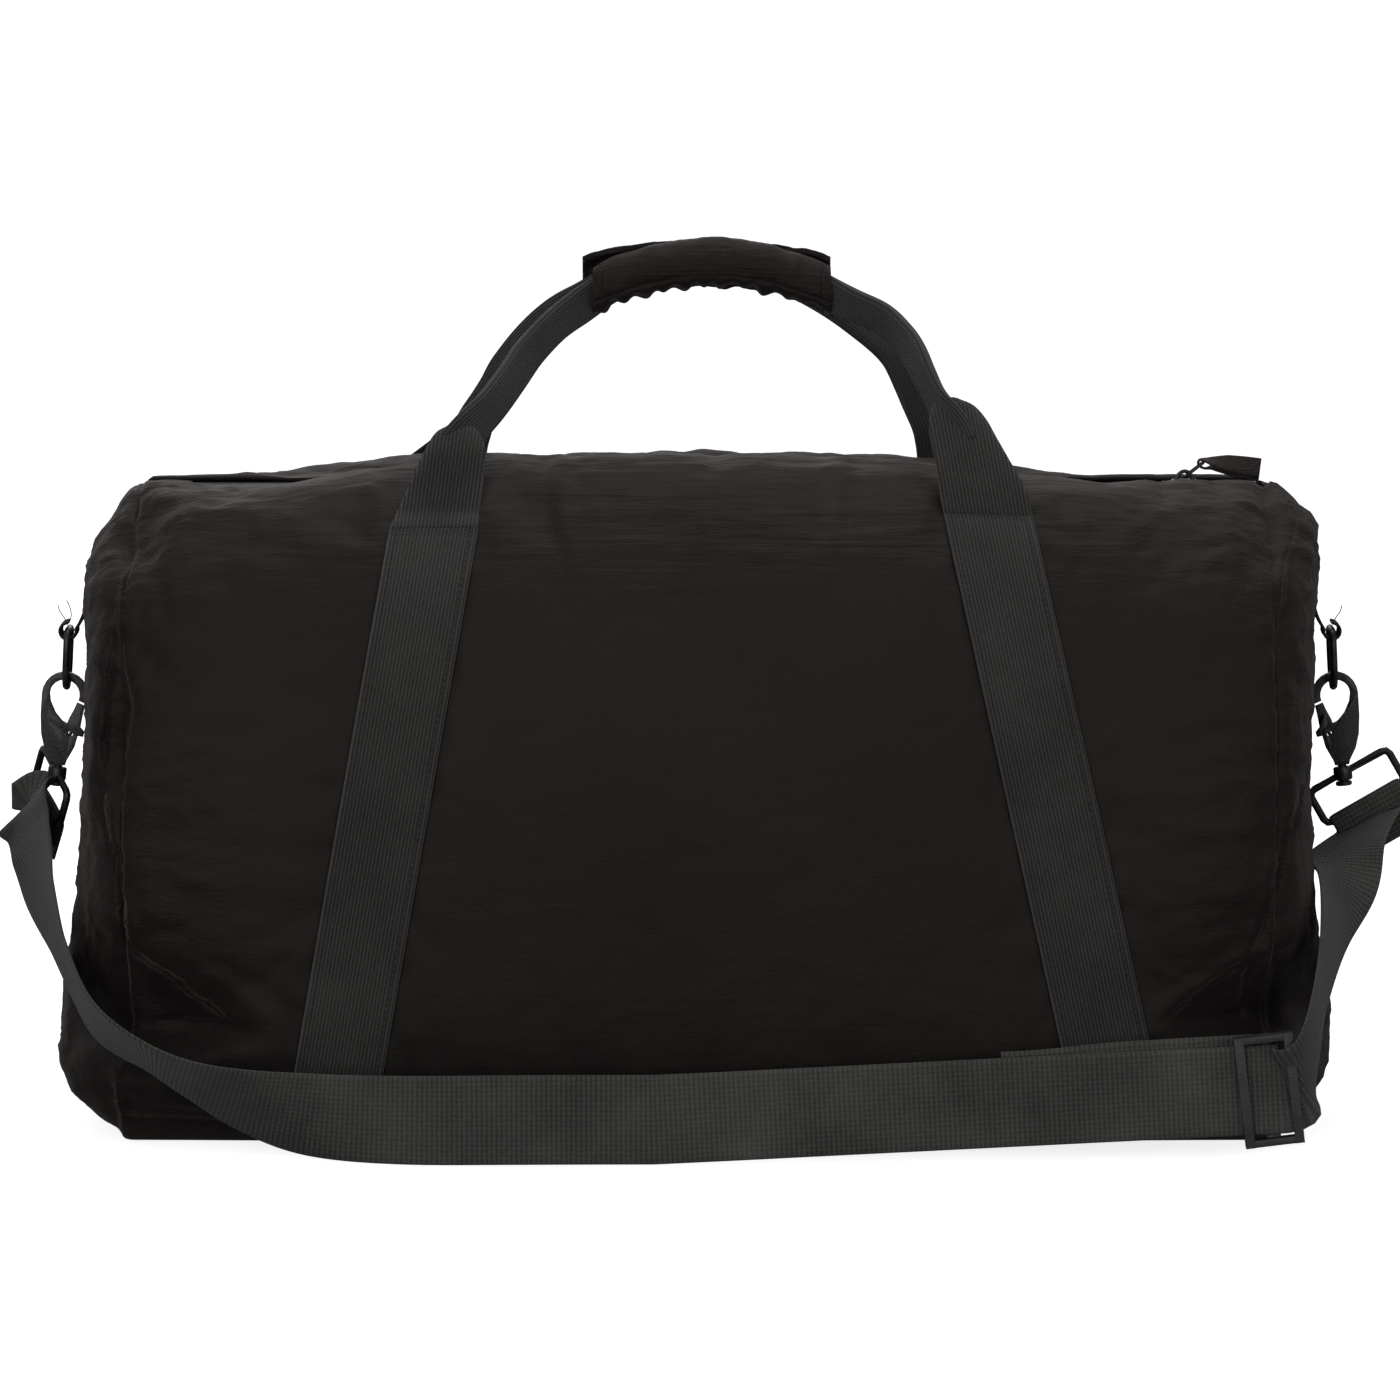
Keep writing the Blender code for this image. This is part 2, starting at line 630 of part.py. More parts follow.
def d_ring(end, pivot):
    """Straight bar on top, round below."""
    shoulder = [(RING_HALF - 0.0009, -0.0007), (RING_HALF, -0.0030), (RING_HALF, -0.0080)]
    outline = [(-0.0085, 0.0), (0.0, 0.0), (0.0085, 0.0)] + shoulder
    outline += arc(0, RING_HALF - RING_DROP, RING_HALF, 0, -180, 10)
    outline += [(-y, z) for y, z in reversed(shoulder)]
    frame = Matrix.Translation(pivot) @ Matrix.Rotation(-end * RING_SWING, 4, "Y")
    return rod([frame @ Vector((0, y, z)) for y, z in outline], RING_R, closed=True)


# ---------------------------------------------------------------- snap hooks
HOOK_TILT = math.radians(6.0)
HOOK_OFFSET = 0.0012    # from the D-ring's bar to the eye, away from the bag
HOOK_HALF_T = 0.0022
SLOT_HALF_T = 0.0017
GATE_HALF_T = 0.0013
SPRING_HALF_T = 0.0012
RIVET = Vector((-0.0042, 0, -0.0250))   # the gate's pin, from the eye
RIVET_HOLE = cylinder_profile(1.15, 5)

# Outlines (x, z) mm from the eye's top wire, x away from the bag.
HOOK_OUTLINE = arc(0, -8, 10, 198, 0, 13) + [
    (9.6, -18), (8.6, -26), (6.7, -32), (3.6, -37.2), (3.1, -39.1), (-3.1, -39.1),
    (-3.6, -37.2), (-6.4, -31), (-7.3, -26), (-6.6, -22.6), (-3.4, -21.2), (-0.8, -20.2),
    (0.2, -19.6), (3.3, -16.4), (5.9, -11.6)] + arc(0, -8, 6.6, 0, 198, 12)
SLOT_OUTLINE = [(-12, -28.7), (0.5, -28.7), (0.5, -18.6), (-12, -18.6)]
GATE_OUTLINE = [
    (-9.3, -12.2), (-5.7, -11.0), (-4.7, -14.0), (-2.9, -18.2), (-1.9, -21.4), (-2.0, -27.0),
    (-5.6, -27.0), (-7.3, -25.6), (-9.8, -25.9), (-10.2, -23.8), (-8.2, -21.8), (-8.7, -16.5)]
SPRING_OUTLINE = [(-6.2, -28.40), (-0.4, -28.40), (-0.1, -27.4), (-0.3, -27.35),
                  (-0.65, -28.08), (-6.2, -28.08)]

# Turned profiles (radius, z) mm: the post from the eye's top wire, the pin from its middle.
POST = [(0, -48.4), (3.2, -48.4), (3.6, -48.0), (3.6, -46.9), (3.2, -46.5), (1.9, -46.5),
        (1.9, -37.5), (0, -37.5)]
PIN = [(0, -2.9), (0.55, -2.9), (0.8, -2.65), (0.8, 2.65), (0.55, 2.9), (0, 2.9)]


def hook_frame(end):
    """Local X points away from the bag, local Z up along the hook, origin on the eye's top."""
    place = Matrix.Translation((end * (RING_X + HOOK_OFFSET), 0, EYE_Z))
    tilt = Matrix.Rotation(-end * HOOK_TILT, 4, "Y")
    return place @ tilt @ Matrix.Scale(end, 4, Vector((1, 0, 0)))


def build_hook(label, frame):
    eye = frame.translation
    rivet = frame @ RIVET
    pin_frame = frame @ Matrix.Translation(RIVET) @ Matrix.Rotation(math.radians(90), 4, "X")

    hook = add("snap_hook_" + label, plate(HOOK_OUTLINE, HOOK_HALF_T, frame), METAL, pivot=eye)
    combine(hook, "DIFFERENCE", "slot_" + label, plate(SLOT_OUTLINE, SLOT_HALF_T, frame))
    combine(hook, "DIFFERENCE", "rivet_hole_" + label, turned(RIVET_HOLE, pin_frame))
    combine(hook, "UNION", "post_" + label, turned(POST, frame))

    gate = add("hook_gate_" + label, plate(GATE_OUTLINE, GATE_HALF_T, frame), METAL, pivot=rivet)
    combine(gate, "DIFFERENCE", "gate_hole_" + label, turned(RIVET_HOLE, pin_frame))
    add("gate_pin_" + label, turned(PIN, pin_frame, 12), METAL, pivot=rivet)
    add("gate_spring_" + label, plate(SPRING_OUTLINE, SPRING_HALF_T, frame), METAL,
        pivot=eye, smooth=False)


# ---------------------------------------------------------------- swivel loops
LOOP_TILT = math.radians(24.0)
LOOP_TURN = {"left": math.radians(66), "right": 0.0}    # about the hook's post
LOOP_Z = -0.0430        # top wire, from the hook's eye
LOOP_HALF = 0.0197      # half width
LOOP_DROP = 0.0165      # top wire to bottom wire
LOOP_CORNER = 0.0028    # how far a rounded corner reaches along its sides
LOOP_ASIDE = 0.0024     # shift of the wire frame along its width
LOOP_R = 0.0017         # wire radius
# (radius, z) mm from the loop's origin on the post
COLLAR = [(0, -2.9), (3.6, -2.9), (4.1, -2.4), (4.1, 2.4), (3.6, 2.9), (0, 2.9)]
COLLAR_BORE = cylinder_profile(2.35, 9)


def loop_path():
    """Rectangle with rounded corners, in the loop's own frame."""
    corners = [Vector((LOOP_ASIDE + x, 0, z)) for x, z in (
        (LOOP_HALF, 0), (LOOP_HALF, -LOOP_DROP), (-LOOP_HALF, -LOOP_DROP), (-LOOP_HALF, 0))]
    points = []
    for k, corner in enumerate(corners):
        to_last = (corners[k - 1] - corner).normalized() * LOOP_CORNER
        to_next = (corners[(k + 1) % 4] - corner).normalized() * LOOP_CORNER
        points += [corner + to_last, corner + (to_last + to_next) * 0.3, corner + to_next]
    return points


def build_swivel_loop(label, hook):
    """Collar round the hook's post and a wire frame for the webbing.

    Returns the middle of the bottom wire, the direction along it and the direction down.
    """
    collar = hook @ Matrix.Translation((0, 0, LOOP_Z))
    frame = (collar @ Matrix.Rotation(LOOP_TURN[label], 4, "Z")
             @ Matrix.Rotation(-LOOP_TILT, 4, "Y"))
    wire = rod([frame @ point for point in loop_path()], LOOP_R, closed=True)
    loop = add("swivel_loop_" + label, wire, METAL, pivot=hook.translation)
    combine(loop, "UNION", "collar_" + label, turned(COLLAR, collar))
    combine(loop, "DIFFERENCE", "collar_bore_" + label, turned(COLLAR_BORE, collar))
    axes = frame.to_3x3()
    return (frame @ Vector((LOOP_ASIDE, 0, -LOOP_DROP)),
            (axes @ Vector((1, 0, 0))).normalized(),
            (axes @ Vector((0, 0, -1))).normalized())


def build_end_hardware():
    """Returns the strap's bar at each end, by name."""
    bars = {}
    for label, end in ENDS:
        add("d_ring_tab_" + label, d_ring_tab(end), WEBBING)
        pivot = Vector((end * RING_X, 0, RING_Z))
        add("d_ring_" + label, d_ring(end, pivot), METAL, pivot=pivot)
        frame = hook_frame(end)
        build_hook(label, frame)
        bars[label] = build_swivel_loop(label, frame)
    return bars


# ---------------------------------------------------------------- shoulder strap
STRAP_Y = -0.1690       # plane of the strap's straight run in front of the bag
RUN_Z = 0.0205          # height of the run's middle line where it is level
RUN_BEND_X = -0.020     # the run rises to the right of this
RUN_RISE = 0.050        # its slope there
RUN_UP = Vector((-RUN_RISE, 0, 1)).normalized()
RUN_END_X = 0.252
LEVEL_X = (-0.080, -0.040, RUN_BEND_X)
RISING_X = (0.0, 0.06, 0.12, 0.18, 0.232, RUN_END_X)
WRAP_HALF_W = 0.0174    # half width of the webbing folded round a loop

# knots x, y, z and width direction: from the left loop down to the straight run
LEFT_KNOTS = [
    (-0.2955, -0.024, 0.112, 0.10, -0.93, -0.20), (-0.2890, -0.062, 0.0930, -0.10, -0.93, 0.20),
    (-0.2790, -0.108, 0.0800, -0.20, -0.86, 0.38), (-0.2640, -0.148, 0.0690, -0.10, -0.70, 0.62),
    (-0.2350, -0.1690, 0.0530, 0.15, -0.45, 0.80), (-0.2000, -0.1715, 0.0360, 0.25, -0.20, 0.92),
    (-0.1650, -0.1700, 0.0240, 0.12, -0.05, 0.99), (-0.1200, STRAP_Y, RUN_Z, 0, 0, 1)]
# and from the straight run up to the right loop
RIGHT_KNOTS = [
    (0.2650, -0.1660, 0.0405, -0.25, 0.05, 0.95), (0.2735, -0.1500, 0.0545, -0.42, 0.45, 0.70),
    (0.2785, -0.118, 0.0720, -0.35, 0.80, 0.25), (0.2830, -0.075, 0.0880, -0.40, 0.80, -0.25),
    (0.2880, -0.032, 0.1080, -0.72, 0.45, -0.45)]


def run_point(x):
    """Middle of the webbing on the strap's straight run."""
    return Vector((x, STRAP_Y, RUN_Z + RUN_RISE * max(x - RUN_BEND_X, 0.0)))


def wrap(bar, along, down, tail, leave):
    """Webbing folded round a bar: the tail's length down one side, the strap on the other."""
    out = along.cross(down).normalized()
    radius = LOOP_R + WEB_GAP + WEB_T / 2
    points = [bar + down * tail - out * (radius - 0.0004), bar + down * 0.006 - out * radius]
    for degrees in range(0, 181, 30):
        angle = math.radians(degrees)
        points.append(bar - out * radius * math.cos(angle) - down * radius * math.sin(angle))
    points.append(bar + down * leave + out * radius)
    return [(point, along, WRAP_HALF_W) for point in points]


def strap_curve(knots):
    return [(Vector(values[:3]), Vector(values[3:]), WEB_W / 2) for values in spline(knots, 3)]


def shoulder_strap(bars):
    start = wrap(*bars["left"], tail=0.020, leave=0.008)
    finish = wrap(*bars["right"], tail=0.022, leave=0.007)
    from_left = tuple(start[-1][0]) + tuple(start[-1][1])
    to_right = tuple(finish[-1][0]) + tuple(-finish[-1][1])
    run_end = tuple(run_point(RUN_END_X)) + tuple(RUN_UP)
    path = start + strap_curve([from_left] + LEFT_KNOTS)[1:]
    path += [(run_point(x), Vector((0, 0, 1)), WEB_W / 2) for x in LEVEL_X]
    path += [(run_point(x), RUN_UP, WEB_W / 2) for x in RISING_X]
    path += strap_curve([run_end] + RIGHT_KNOTS + [to_right])[1:-1]
    path += [(centre, -along, half_width) for centre, along, half_width in reversed(finish)]
    return ribbon(path, WEB_T)


# ---------------------------------------------------------------- strap slider
STRAP_SLIDER_X = 0.2400             # rest place of the slider
STRAP_SLIDER_SKEW = math.radians(4.0)
RAIL_LOW = 0.0206                   # rails, beyond the webbing's edges
RAIL_HIGH = 0.0236
RAIL_INSET = 0.0001                 # keeps the rails' faces off the bars' faces
# Boxes in the slider's frame, low and high corners. The outer bars stand in front of the
# webbing, the middle bar behind it.
BAR_LEFT = ((-0.0125, -0.0038, -RAIL_HIGH), (-0.0085, -0.0013, RAIL_HIGH))
SLIDER_PARTS = {
    "bar_right": ((0.0085, -0.0038, -RAIL_HIGH), (0.0125, -0.0013, RAIL_HIGH)),
    "bar_middle": ((-0.0030, 0.0013, -RAIL_HIGH), (0.0030, 0.0036, RAIL_HIGH)),
    "rail_top": ((-0.0124, -0.0037, RAIL_LOW), (0.0124, 0.0035, RAIL_HIGH - RAIL_INSET)),
    "rail_low": ((-0.0124, -0.0037, -RAIL_HIGH + RAIL_INSET), (0.0124, 0.0035, -RAIL_LOW))}


def placed_box(corners, frame):
    mesh = box(*corners)
    bmesh.ops.transform(mesh, matrix=frame, verts=mesh.verts)
    return mesh


def build_strap_slider():
    frame = (Matrix.Translation(run_point(STRAP_SLIDER_X))
             @ Matrix.Rotation(-math.atan(RUN_RISE), 4, "Y")
             @ Matrix.Rotation(-STRAP_SLIDER_SKEW, 4, "Y"))
    slider = add("strap_slider", placed_box(BAR_LEFT, frame), PLASTIC,
                 pivot=frame.translation, smooth=False)
    for name, corners in SLIDER_PARTS.items():
        combine(slider, "UNION", name, placed_box(corners, frame))


# ---------------------------------------------------------------- the bag
build_shell()
build_inside()
build_zipper()
build_handles()
strap_bars = build_end_hardware()
add("shoulder_strap", shoulder_strap(strap_bars), WEBBING, pivot=(0, 0, EYE_Z), smooth=False)
build_strap_slider()
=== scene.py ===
"""Barrel duffel bag of crinkled nylon, with two carry handles and a shoulder strap.

The bag stands on the floor z = 0 with its middle over the origin and its length along x. Its front
faces -y and its left end is at -x. Units are metres; tables in millimetres say so.
"""

import json
import math
import operator
from functools import reduce

import bmesh
import bpy
import numpy as np
from mathutils import Matrix, Vector, noise
from mathutils.bvhtree import BVHTree

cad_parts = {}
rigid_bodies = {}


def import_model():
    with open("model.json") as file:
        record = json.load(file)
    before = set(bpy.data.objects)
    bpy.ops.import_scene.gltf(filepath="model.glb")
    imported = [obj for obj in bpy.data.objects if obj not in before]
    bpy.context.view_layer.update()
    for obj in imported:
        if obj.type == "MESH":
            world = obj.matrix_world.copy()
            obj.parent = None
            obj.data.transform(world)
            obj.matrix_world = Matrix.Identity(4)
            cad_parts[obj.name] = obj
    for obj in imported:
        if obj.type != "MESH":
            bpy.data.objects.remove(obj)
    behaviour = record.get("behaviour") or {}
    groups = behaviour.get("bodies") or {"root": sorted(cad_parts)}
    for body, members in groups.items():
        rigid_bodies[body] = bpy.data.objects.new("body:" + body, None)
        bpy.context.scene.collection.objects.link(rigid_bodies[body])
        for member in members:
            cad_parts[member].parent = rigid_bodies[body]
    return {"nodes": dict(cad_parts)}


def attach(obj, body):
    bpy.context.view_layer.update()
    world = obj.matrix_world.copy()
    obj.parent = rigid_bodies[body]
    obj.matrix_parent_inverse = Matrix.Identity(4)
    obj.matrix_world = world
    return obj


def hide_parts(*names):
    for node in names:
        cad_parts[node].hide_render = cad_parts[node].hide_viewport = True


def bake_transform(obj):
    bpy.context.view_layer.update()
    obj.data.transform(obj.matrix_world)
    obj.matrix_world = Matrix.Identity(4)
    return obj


for old_object in list(bpy.data.objects):
    bpy.data.objects.remove(old_object, do_unlink=True)
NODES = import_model()["nodes"]
SCENE = bpy.context.scene
SIDES = (("left", -1), ("right", 1))


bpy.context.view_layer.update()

# ---------------------------------------------------------------- driving sizes
BAG_TOP = 0.2900
SEAM_X, SEAM_BOW = 0.2440, 0.0030       # end seams: half distance at the floor, bow at mid height
END_DROP, END_TUCK = 0.0180, 0.055      # top sinks (metres) and sides draw in (share) at the ends
DOME_TOP, DOME_LOW = 0.0162, 0.0118     # bulge of the end panels, and what the lower part adds
WEB_W, WEB_T = 0.0380, 0.0015           # webbing of handles and shoulder strap
STITCH_Z = 0.2690                       # height of the top of the sewn webbings

# Half section across the bag (y, z), from the bottom centre round to the top centre
SECTION = [
    (0.0, 0.0), (0.052, 0.0), (0.100, 0.0), (0.118, 0.0035), (0.131, 0.015), (0.1385, 0.040),
    (0.1425, 0.085), (0.1430, 0.135), (0.1395, 0.180), (0.1310, 0.222), (0.1160, 0.254),
    (0.0930, 0.276), (0.0620, 0.2868), (0.0400, 0.2858), (0.0170, 0.2774), (0.0, 0.2768)]


# ---------------------------------------------------------------- curves
def spline(points, per):
    """Catmull-Rom through points with any number of channels, per steps to each span."""
    out = []
    last = len(points) - 1
    for i in range(last):
        span = points[max(i - 1, 0)], points[i], points[i + 1], points[min(i + 2, last)]
        for step in range(per):
            t = step / per
            out.append(tuple(
                0.5 * (2 * b + (c - a) * t + (2 * a - 5 * b + 4 * c - d) * t * t
                       + (3 * b - a - 3 * c + d) * t ** 3)
                for a, b, c, d in zip(*span)))
    out.append(tuple(points[-1]))
    return out


def smoothstep(t):
    t = np.clip(t, 0.0, 1.0)
    return t * t * (3 - 2 * t)


def lengths_along(points):
    """Distance of each point of a polyline from its start."""
    return np.concatenate([[0], np.cumsum(np.linalg.norm(np.diff(points, axis=0), axis=1))])


def unit(vectors):
    return vectors / (np.linalg.norm(vectors, axis=-1, keepdims=True) + 1e-12)


def dense(points, step):
    """Resamples a polyline to an even step. Its first three channels are the position."""
    points = np.asarray(points, float)
    length = lengths_along(points[:, :3])
    count = max(int(length[-1] / step), 2)
    even = np.linspace(0, length[-1], count + 1)
    return np.stack([np.interp(even, length, channel) for channel in points.T], axis=1), even


def smooth_rows(rows, times):
    rows = np.array(rows, float)
    for _ in range(times):
        rows[1:-1] = 0.25 * rows[:-2] + 0.5 * rows[1:-1] + 0.25 * rows[2:]
    return rows


def path_frames(points, widths):
    """Width direction and normal along a path."""
    tangent = unit(np.gradient(points, axis=0))
    widths = np.asarray(widths, float)
    widths = unit(widths - tangent * np.sum(widths * tangent, axis=1)[:, None])
    return widths, np.cross(tangent, widths)


def sheet(x, y, z):
    return np.stack(np.broadcast_arrays(x, y, z), axis=-1)


def sheet_normals(grid):
    return unit(np.cross(np.gradient(grid, axis=0), np.gradient(grid, axis=1)))


# ---------------------------------------------------------------- plain form of the bag
FINE = np.array(spline(SECTION, 12))
FINE_ARC = lengths_along(FINE)
HALF_LEN = float(FINE_ARC[-1])


def section_at(arc):
    """y and z of the half section at an arc length from the bottom centre."""
    return np.interp(arc, FINE_ARC, FINE[:, 0]), np.interp(arc, FINE_ARC, FINE[:, 1])


def upper_arc(z):
    """Arc length at height z, above the widest place of the section."""
    upper = slice(int(np.argmax(FINE[:, 0])), int(np.argmax(FINE[:, 1])))
    return float(np.interp(z, FINE[upper, 1], FINE_ARC[upper]))


def seam_x(z):
    return SEAM_X + SEAM_BOW * np.sin(np.pi * np.clip(z / BAG_TOP, 0, 1))


def skin(x, arc, side):
    """Point of the plain form; side is -1 for the front, 1 for the back."""
    x, arc = np.broadcast_arrays(x, arc)
    y, z = section_at(arc)
    share = np.minimum(np.abs(x) / seam_x(z), 1.0)
    z = z - END_DROP * share ** 5 * smoothstep((y - 0.018) / 0.05) * smoothstep((z - 0.13) / 0.14)
    y = y * (1 - END_TUCK * share ** 6 * smoothstep((y - 0.03) / 0.07))
    return np.stack([x, side * y, z], axis=-1)


def skin_frame(x, arc, side):
    """Point and outward normal of the plain form."""
    gap = 0.002
    point = skin(x, arc, side)
    along_arc = skin(x, arc + gap, side) - skin(x, arc - gap, side)
    along_x = skin(x + gap, arc, side) - skin(x - gap, arc, side)
    normal = unit(np.cross(along_x, along_arc))
    outward = np.sign(np.sum(normal * (point - np.array([0, 0, 0.14])), axis=-1))
    return point, normal * outward[..., None]


# ---------------------------------------------------------------- shader building
class Value:
    """Output of a shader node. Arithmetic on it adds math nodes."""

    def __init__(self, tree, socket):
        self.tree, self.socket = tree, socket

    def math(self, operation, *others):
        return math_node(self.tree, operation, self, *(others or (0.0,)))

    def __add__(self, other):
        return self.math("ADD", other)

    def __radd__(self, other):
        return math_node(self.tree, "ADD", other, self)

    def __sub__(self, other):
        return self.math("SUBTRACT", other)

    def __rsub__(self, other):
        return math_node(self.tree, "SUBTRACT", other, self)

    def __mul__(self, other):
        return self.math("MULTIPLY", other)

    def __truediv__(self, other):
        return self.math("DIVIDE", other)


def feed(tree, term, target):
    if isinstance(term, Value):
        tree.links.new(term.socket, target)
    else:
        target.default_value = term


def math_node(tree, operation, *terms):
    made = tree.nodes.new("ShaderNodeMath")
    made.operation = operation
    for place, term in enumerate(terms):
        feed(tree, term, made.inputs[place])
    return Value(tree, made.outputs[0])


def maximum(first, second):
    return first.math("MAXIMUM", second)


class Shader:
    """A new material with one Principled surface."""

    def __init__(self, name):
        self.material = bpy.data.materials.new(name)
        self.material.use_nodes = True
        self.tree = self.material.node_tree
        self.tree.nodes.clear()
        self.output = self.tree.nodes.new("ShaderNodeOutputMaterial")
        self.bsdf = self.tree.nodes.new("ShaderNodeBsdfPrincipled")
        self.tree.links.new(self.bsdf.outputs[0], self.output.inputs[0])

    def put(self, node, **inputs):
        """Sets or links inputs; an underscore in a keyword stands for a space."""
        for key, term in inputs.items():
            feed(self.tree, term, node.inputs[key.replace("_", " ")])

    def surface(self, **inputs):
        self.put(self.bsdf, **inputs)

    def add(self, kind, result, settings=(), **inputs):
        """New node, given back as its output of the name or index result."""
        made = self.tree.nodes.new(kind)
        for key, setting in dict(settings).items():
            setattr(made, key, setting)
        self.put(made, **inputs)
        return Value(self.tree, made.outputs[result])

    def place(self):
        return self.add("ShaderNodeTexCoord", "Object")

    def split(self, vector):
        made = self.tree.nodes.new("ShaderNodeSeparateXYZ")
        self.put(made, Vector=vector)
        return [Value(self.tree, out) for out in made.outputs]

    def stretched(self, vector, scale):
        return self.add("ShaderNodeMapping", 0, Vector=vector, Scale=scale)

    def noise(self, vector, scale, detail, roughness, distortion=0.0):
        return self.add("ShaderNodeTexNoise", "Fac", Vector=vector, Scale=scale, Detail=detail,
                        Roughness=roughness, Distortion=distortion)

    def rise(self, term, low, high):
        return self.add("ShaderNodeMapRange", "Result", {"interpolation_type": "SMOOTHSTEP"},
                        Value=term, From_Min=low, From_Max=high)

    def ramp(self, term, *stops):
        """Colour ramp with two stops (position, colour)."""
        made = self.tree.nodes.new("ShaderNodeValToRGB")
        feed(self.tree, term, made.inputs[0])
        for element, (position, colour) in zip(made.color_ramp.elements, stops):
            element.position = position
            element.color = (*colour, 1)
        return Value(self.tree, made.outputs[0])

    def mix(self, factor, first, second):
        return self.add("ShaderNodeMix", "Result", {"data_type": "RGBA"},
                        Factor=factor, A=first, B=second)

    def bump(self, height, strength, distance):
        self.surface(Normal=self.add("ShaderNodeBump", 0, Strength=strength, Distance=distance,
                                     Height=height))


# Sharp creases low and high beside the end seams of the front: start, end (x, z), width, depth
CREASES = [
    ((-0.2490, 0.2200), (-0.2540, 0.1640), 0.0015, 0.0040),
    ((-0.2560, 0.1620), (-0.2430, 0.0885), 0.0018, 0.0026),
    ((-0.2430, 0.0885), (-0.1990, 0.0565), 0.0014, 0.0022),
    ((-0.2320, 0.0560), (-0.1990, 0.0565), 0.0014, 0.0022),
    ((0.2585, 0.1610), (0.2350, 0.0880), 0.0016, 0.0034),
    ((0.2350, 0.0860), (0.1980, 0.0590), 0.0014, 0.0020),
    ((0.2340, 0.0860), (0.2310, 0.0570), 0.0014, 0.0020)]
# Triangles between the creases, filled with shade painted into the cloth's colour: corners (x, z)
PAINTED_SHADE_TRIANGLES = [
    ((-0.2440, 0.0900), (-0.2300, 0.0560), (-0.1990, 0.0560)),
    ((0.2350, 0.0860), (0.1975, 0.0585), (0.2330, 0.0550)),
    ((0.2360, 0.0900), (0.2320, 0.0540), (0.2560, 0.0500))]
# Darkness of the shade painted into the cloth's colour along the creases and in the triangles
CREASE_SHADE, HOLLOW_SHADE = 0.55, 0.58


def front_folds_and_painted_shade(shader, place):
    """Height of the creases, and how dark the shade painted into the colour is along them and in
    the triangles between them, for the front of the bag only.
    """
    wobble = shader.noise(place, scale=90.0, detail=3.0, roughness=0.6)
    x, y, z = shader.split(place)
    x = x + (wobble - 0.5) * 0.0075
    front = y.math("LESS_THAN", -0.05)

    def line(along_x, along_z, constant):
        return x * along_x + z * along_z + constant

    heights, shades = [], []
    # each crease dents the relief and darkens the colour with painted shade along its line
    for (x0, z0), (x1, z1), width, depth in CREASES:
        length = math.hypot(x1 - x0, z1 - z0)
        dx, dz = (x1 - x0) / length, (z1 - z0) / length
        off = line(-dz, dx, dz * x0 - dx * z0) / width
        along = line(dx, dz, -dx * x0 - dz * z0) / length
        bell = (off * off * -1.0).math("EXPONENT")
        window = shader.rise(along, -0.08, 0.18) * (1.0 - shader.rise(along, 0.82, 1.08))
        mask = bell * window * front
        heights.append(mask * -depth)
        shades.append(mask * CREASE_SHADE)
    # each triangle is filled with painted shade
    for corners in PAINTED_SHADE_TRIANGLES:
        middle_x, middle_z = (sum(c[k] for c in corners) / 3 for k in (0, 1))
        edges = []
        for (ax, az), (bx, bz) in zip(corners, corners[1:] + corners[:1]):
            length = math.hypot(bx - ax, bz - az)
            along_x, along_z = -(bz - az) / length, (bx - ax) / length
            constant = -along_x * ax - along_z * az
            if along_x * middle_x + along_z * middle_z + constant < 0:
                along_x, along_z, constant = -along_x, -along_z, -constant
            edges.append(shader.rise(line(along_x, along_z, constant), -0.0020, 0.0030))
        shades.append(reduce(operator.mul, edges) * front * HOLLOW_SHADE)
    return reduce(operator.add, heights), reduce(maximum, shades)


def nylon(name, dark, light, crinkle, folds):
    """Crinkled plain-weave cloth: calm on the long panels, crumpled at the ends."""
    shader = Shader(name)
    place = shader.place()
    drift = shader.noise(place, scale=9.0, detail=3.0, roughness=0.5)
    crest = shader.noise(shader.stretched(place, (1.0, 1.6, 2.6)), scale=75.0, detail=5.0,
                         roughness=0.62, distortion=0.6)
    fine = shader.noise(shader.stretched(place, (1.0, 2.0, 3.2)), scale=300.0, detail=3.0,
                        roughness=0.6, distortion=0.2)
    colour = shader.ramp(drift * 0.5 + crest * 0.5, (0.33, dark), (0.68, light))
    shader.surface(
        Roughness=0.52 + crest * 0.20, Specular_IOR_Level=0.21,
        Specular_Tint=(1.0, 0.88, 0.84, 1), Sheen_Weight=0.08, Sheen_Roughness=0.45,
        Sheen_Tint=(1.0, 0.86, 0.80, 1))
    # threads 0.55 mm apart along the bag and 0.50 mm up it
    x, y, z = shader.split(place)
    weave = (((x + y) * (2 * math.pi / 0.00055)).math("SINE")
             * ((z + y * 0.6) * (2 * math.pi / 0.00050)).math("SINE"))
    cells = shader.add("ShaderNodeTexVoronoi", "Distance", {"feature": "DISTANCE_TO_EDGE"},
                       Vector=shader.stretched(place, (1.0, 1.4, 1.9)), Scale=95.0)
    crack = cells.math("SMOOTH_MIN", 0.12, 0.08)
    x, y, z = shader.split(place)
    at_end = shader.rise(x.math("ABSOLUTE"), 0.185, 0.250)
    at_top = shader.rise(z, 0.215, 0.275)
    calm = 0.20 + at_end * 0.75
    streak = shader.noise(shader.stretched(place, (0.22, 1.6, 3.4)), scale=62.0, detail=4.0,
                          roughness=0.58, distortion=0.4)
    # each relief times where it shows and its height in metres
    height = (crest * calm * (0.0011 * crinkle) + fine * (calm + 0.45) * (0.00034 * crinkle)
              + crack * at_end * (0.0011 * crinkle)
              + streak * (0.10 + at_top) * (0.0019 * crinkle) + weave * 0.000012)
    if folds:
        # creases on the front, with shade painted into the base colour along them and in the
        # triangles between them, mixed towards near black
        crease_height, shade = front_folds_and_painted_shade(shader, place)
        height = height + crease_height
        colour = shader.mix(shade, colour, (0.0012, 0.0011, 0.0010, 1))
    shader.surface(Base_Color=colour)
    shader.bump(height, strength=0.75, distance=1.0)
    return shader.material


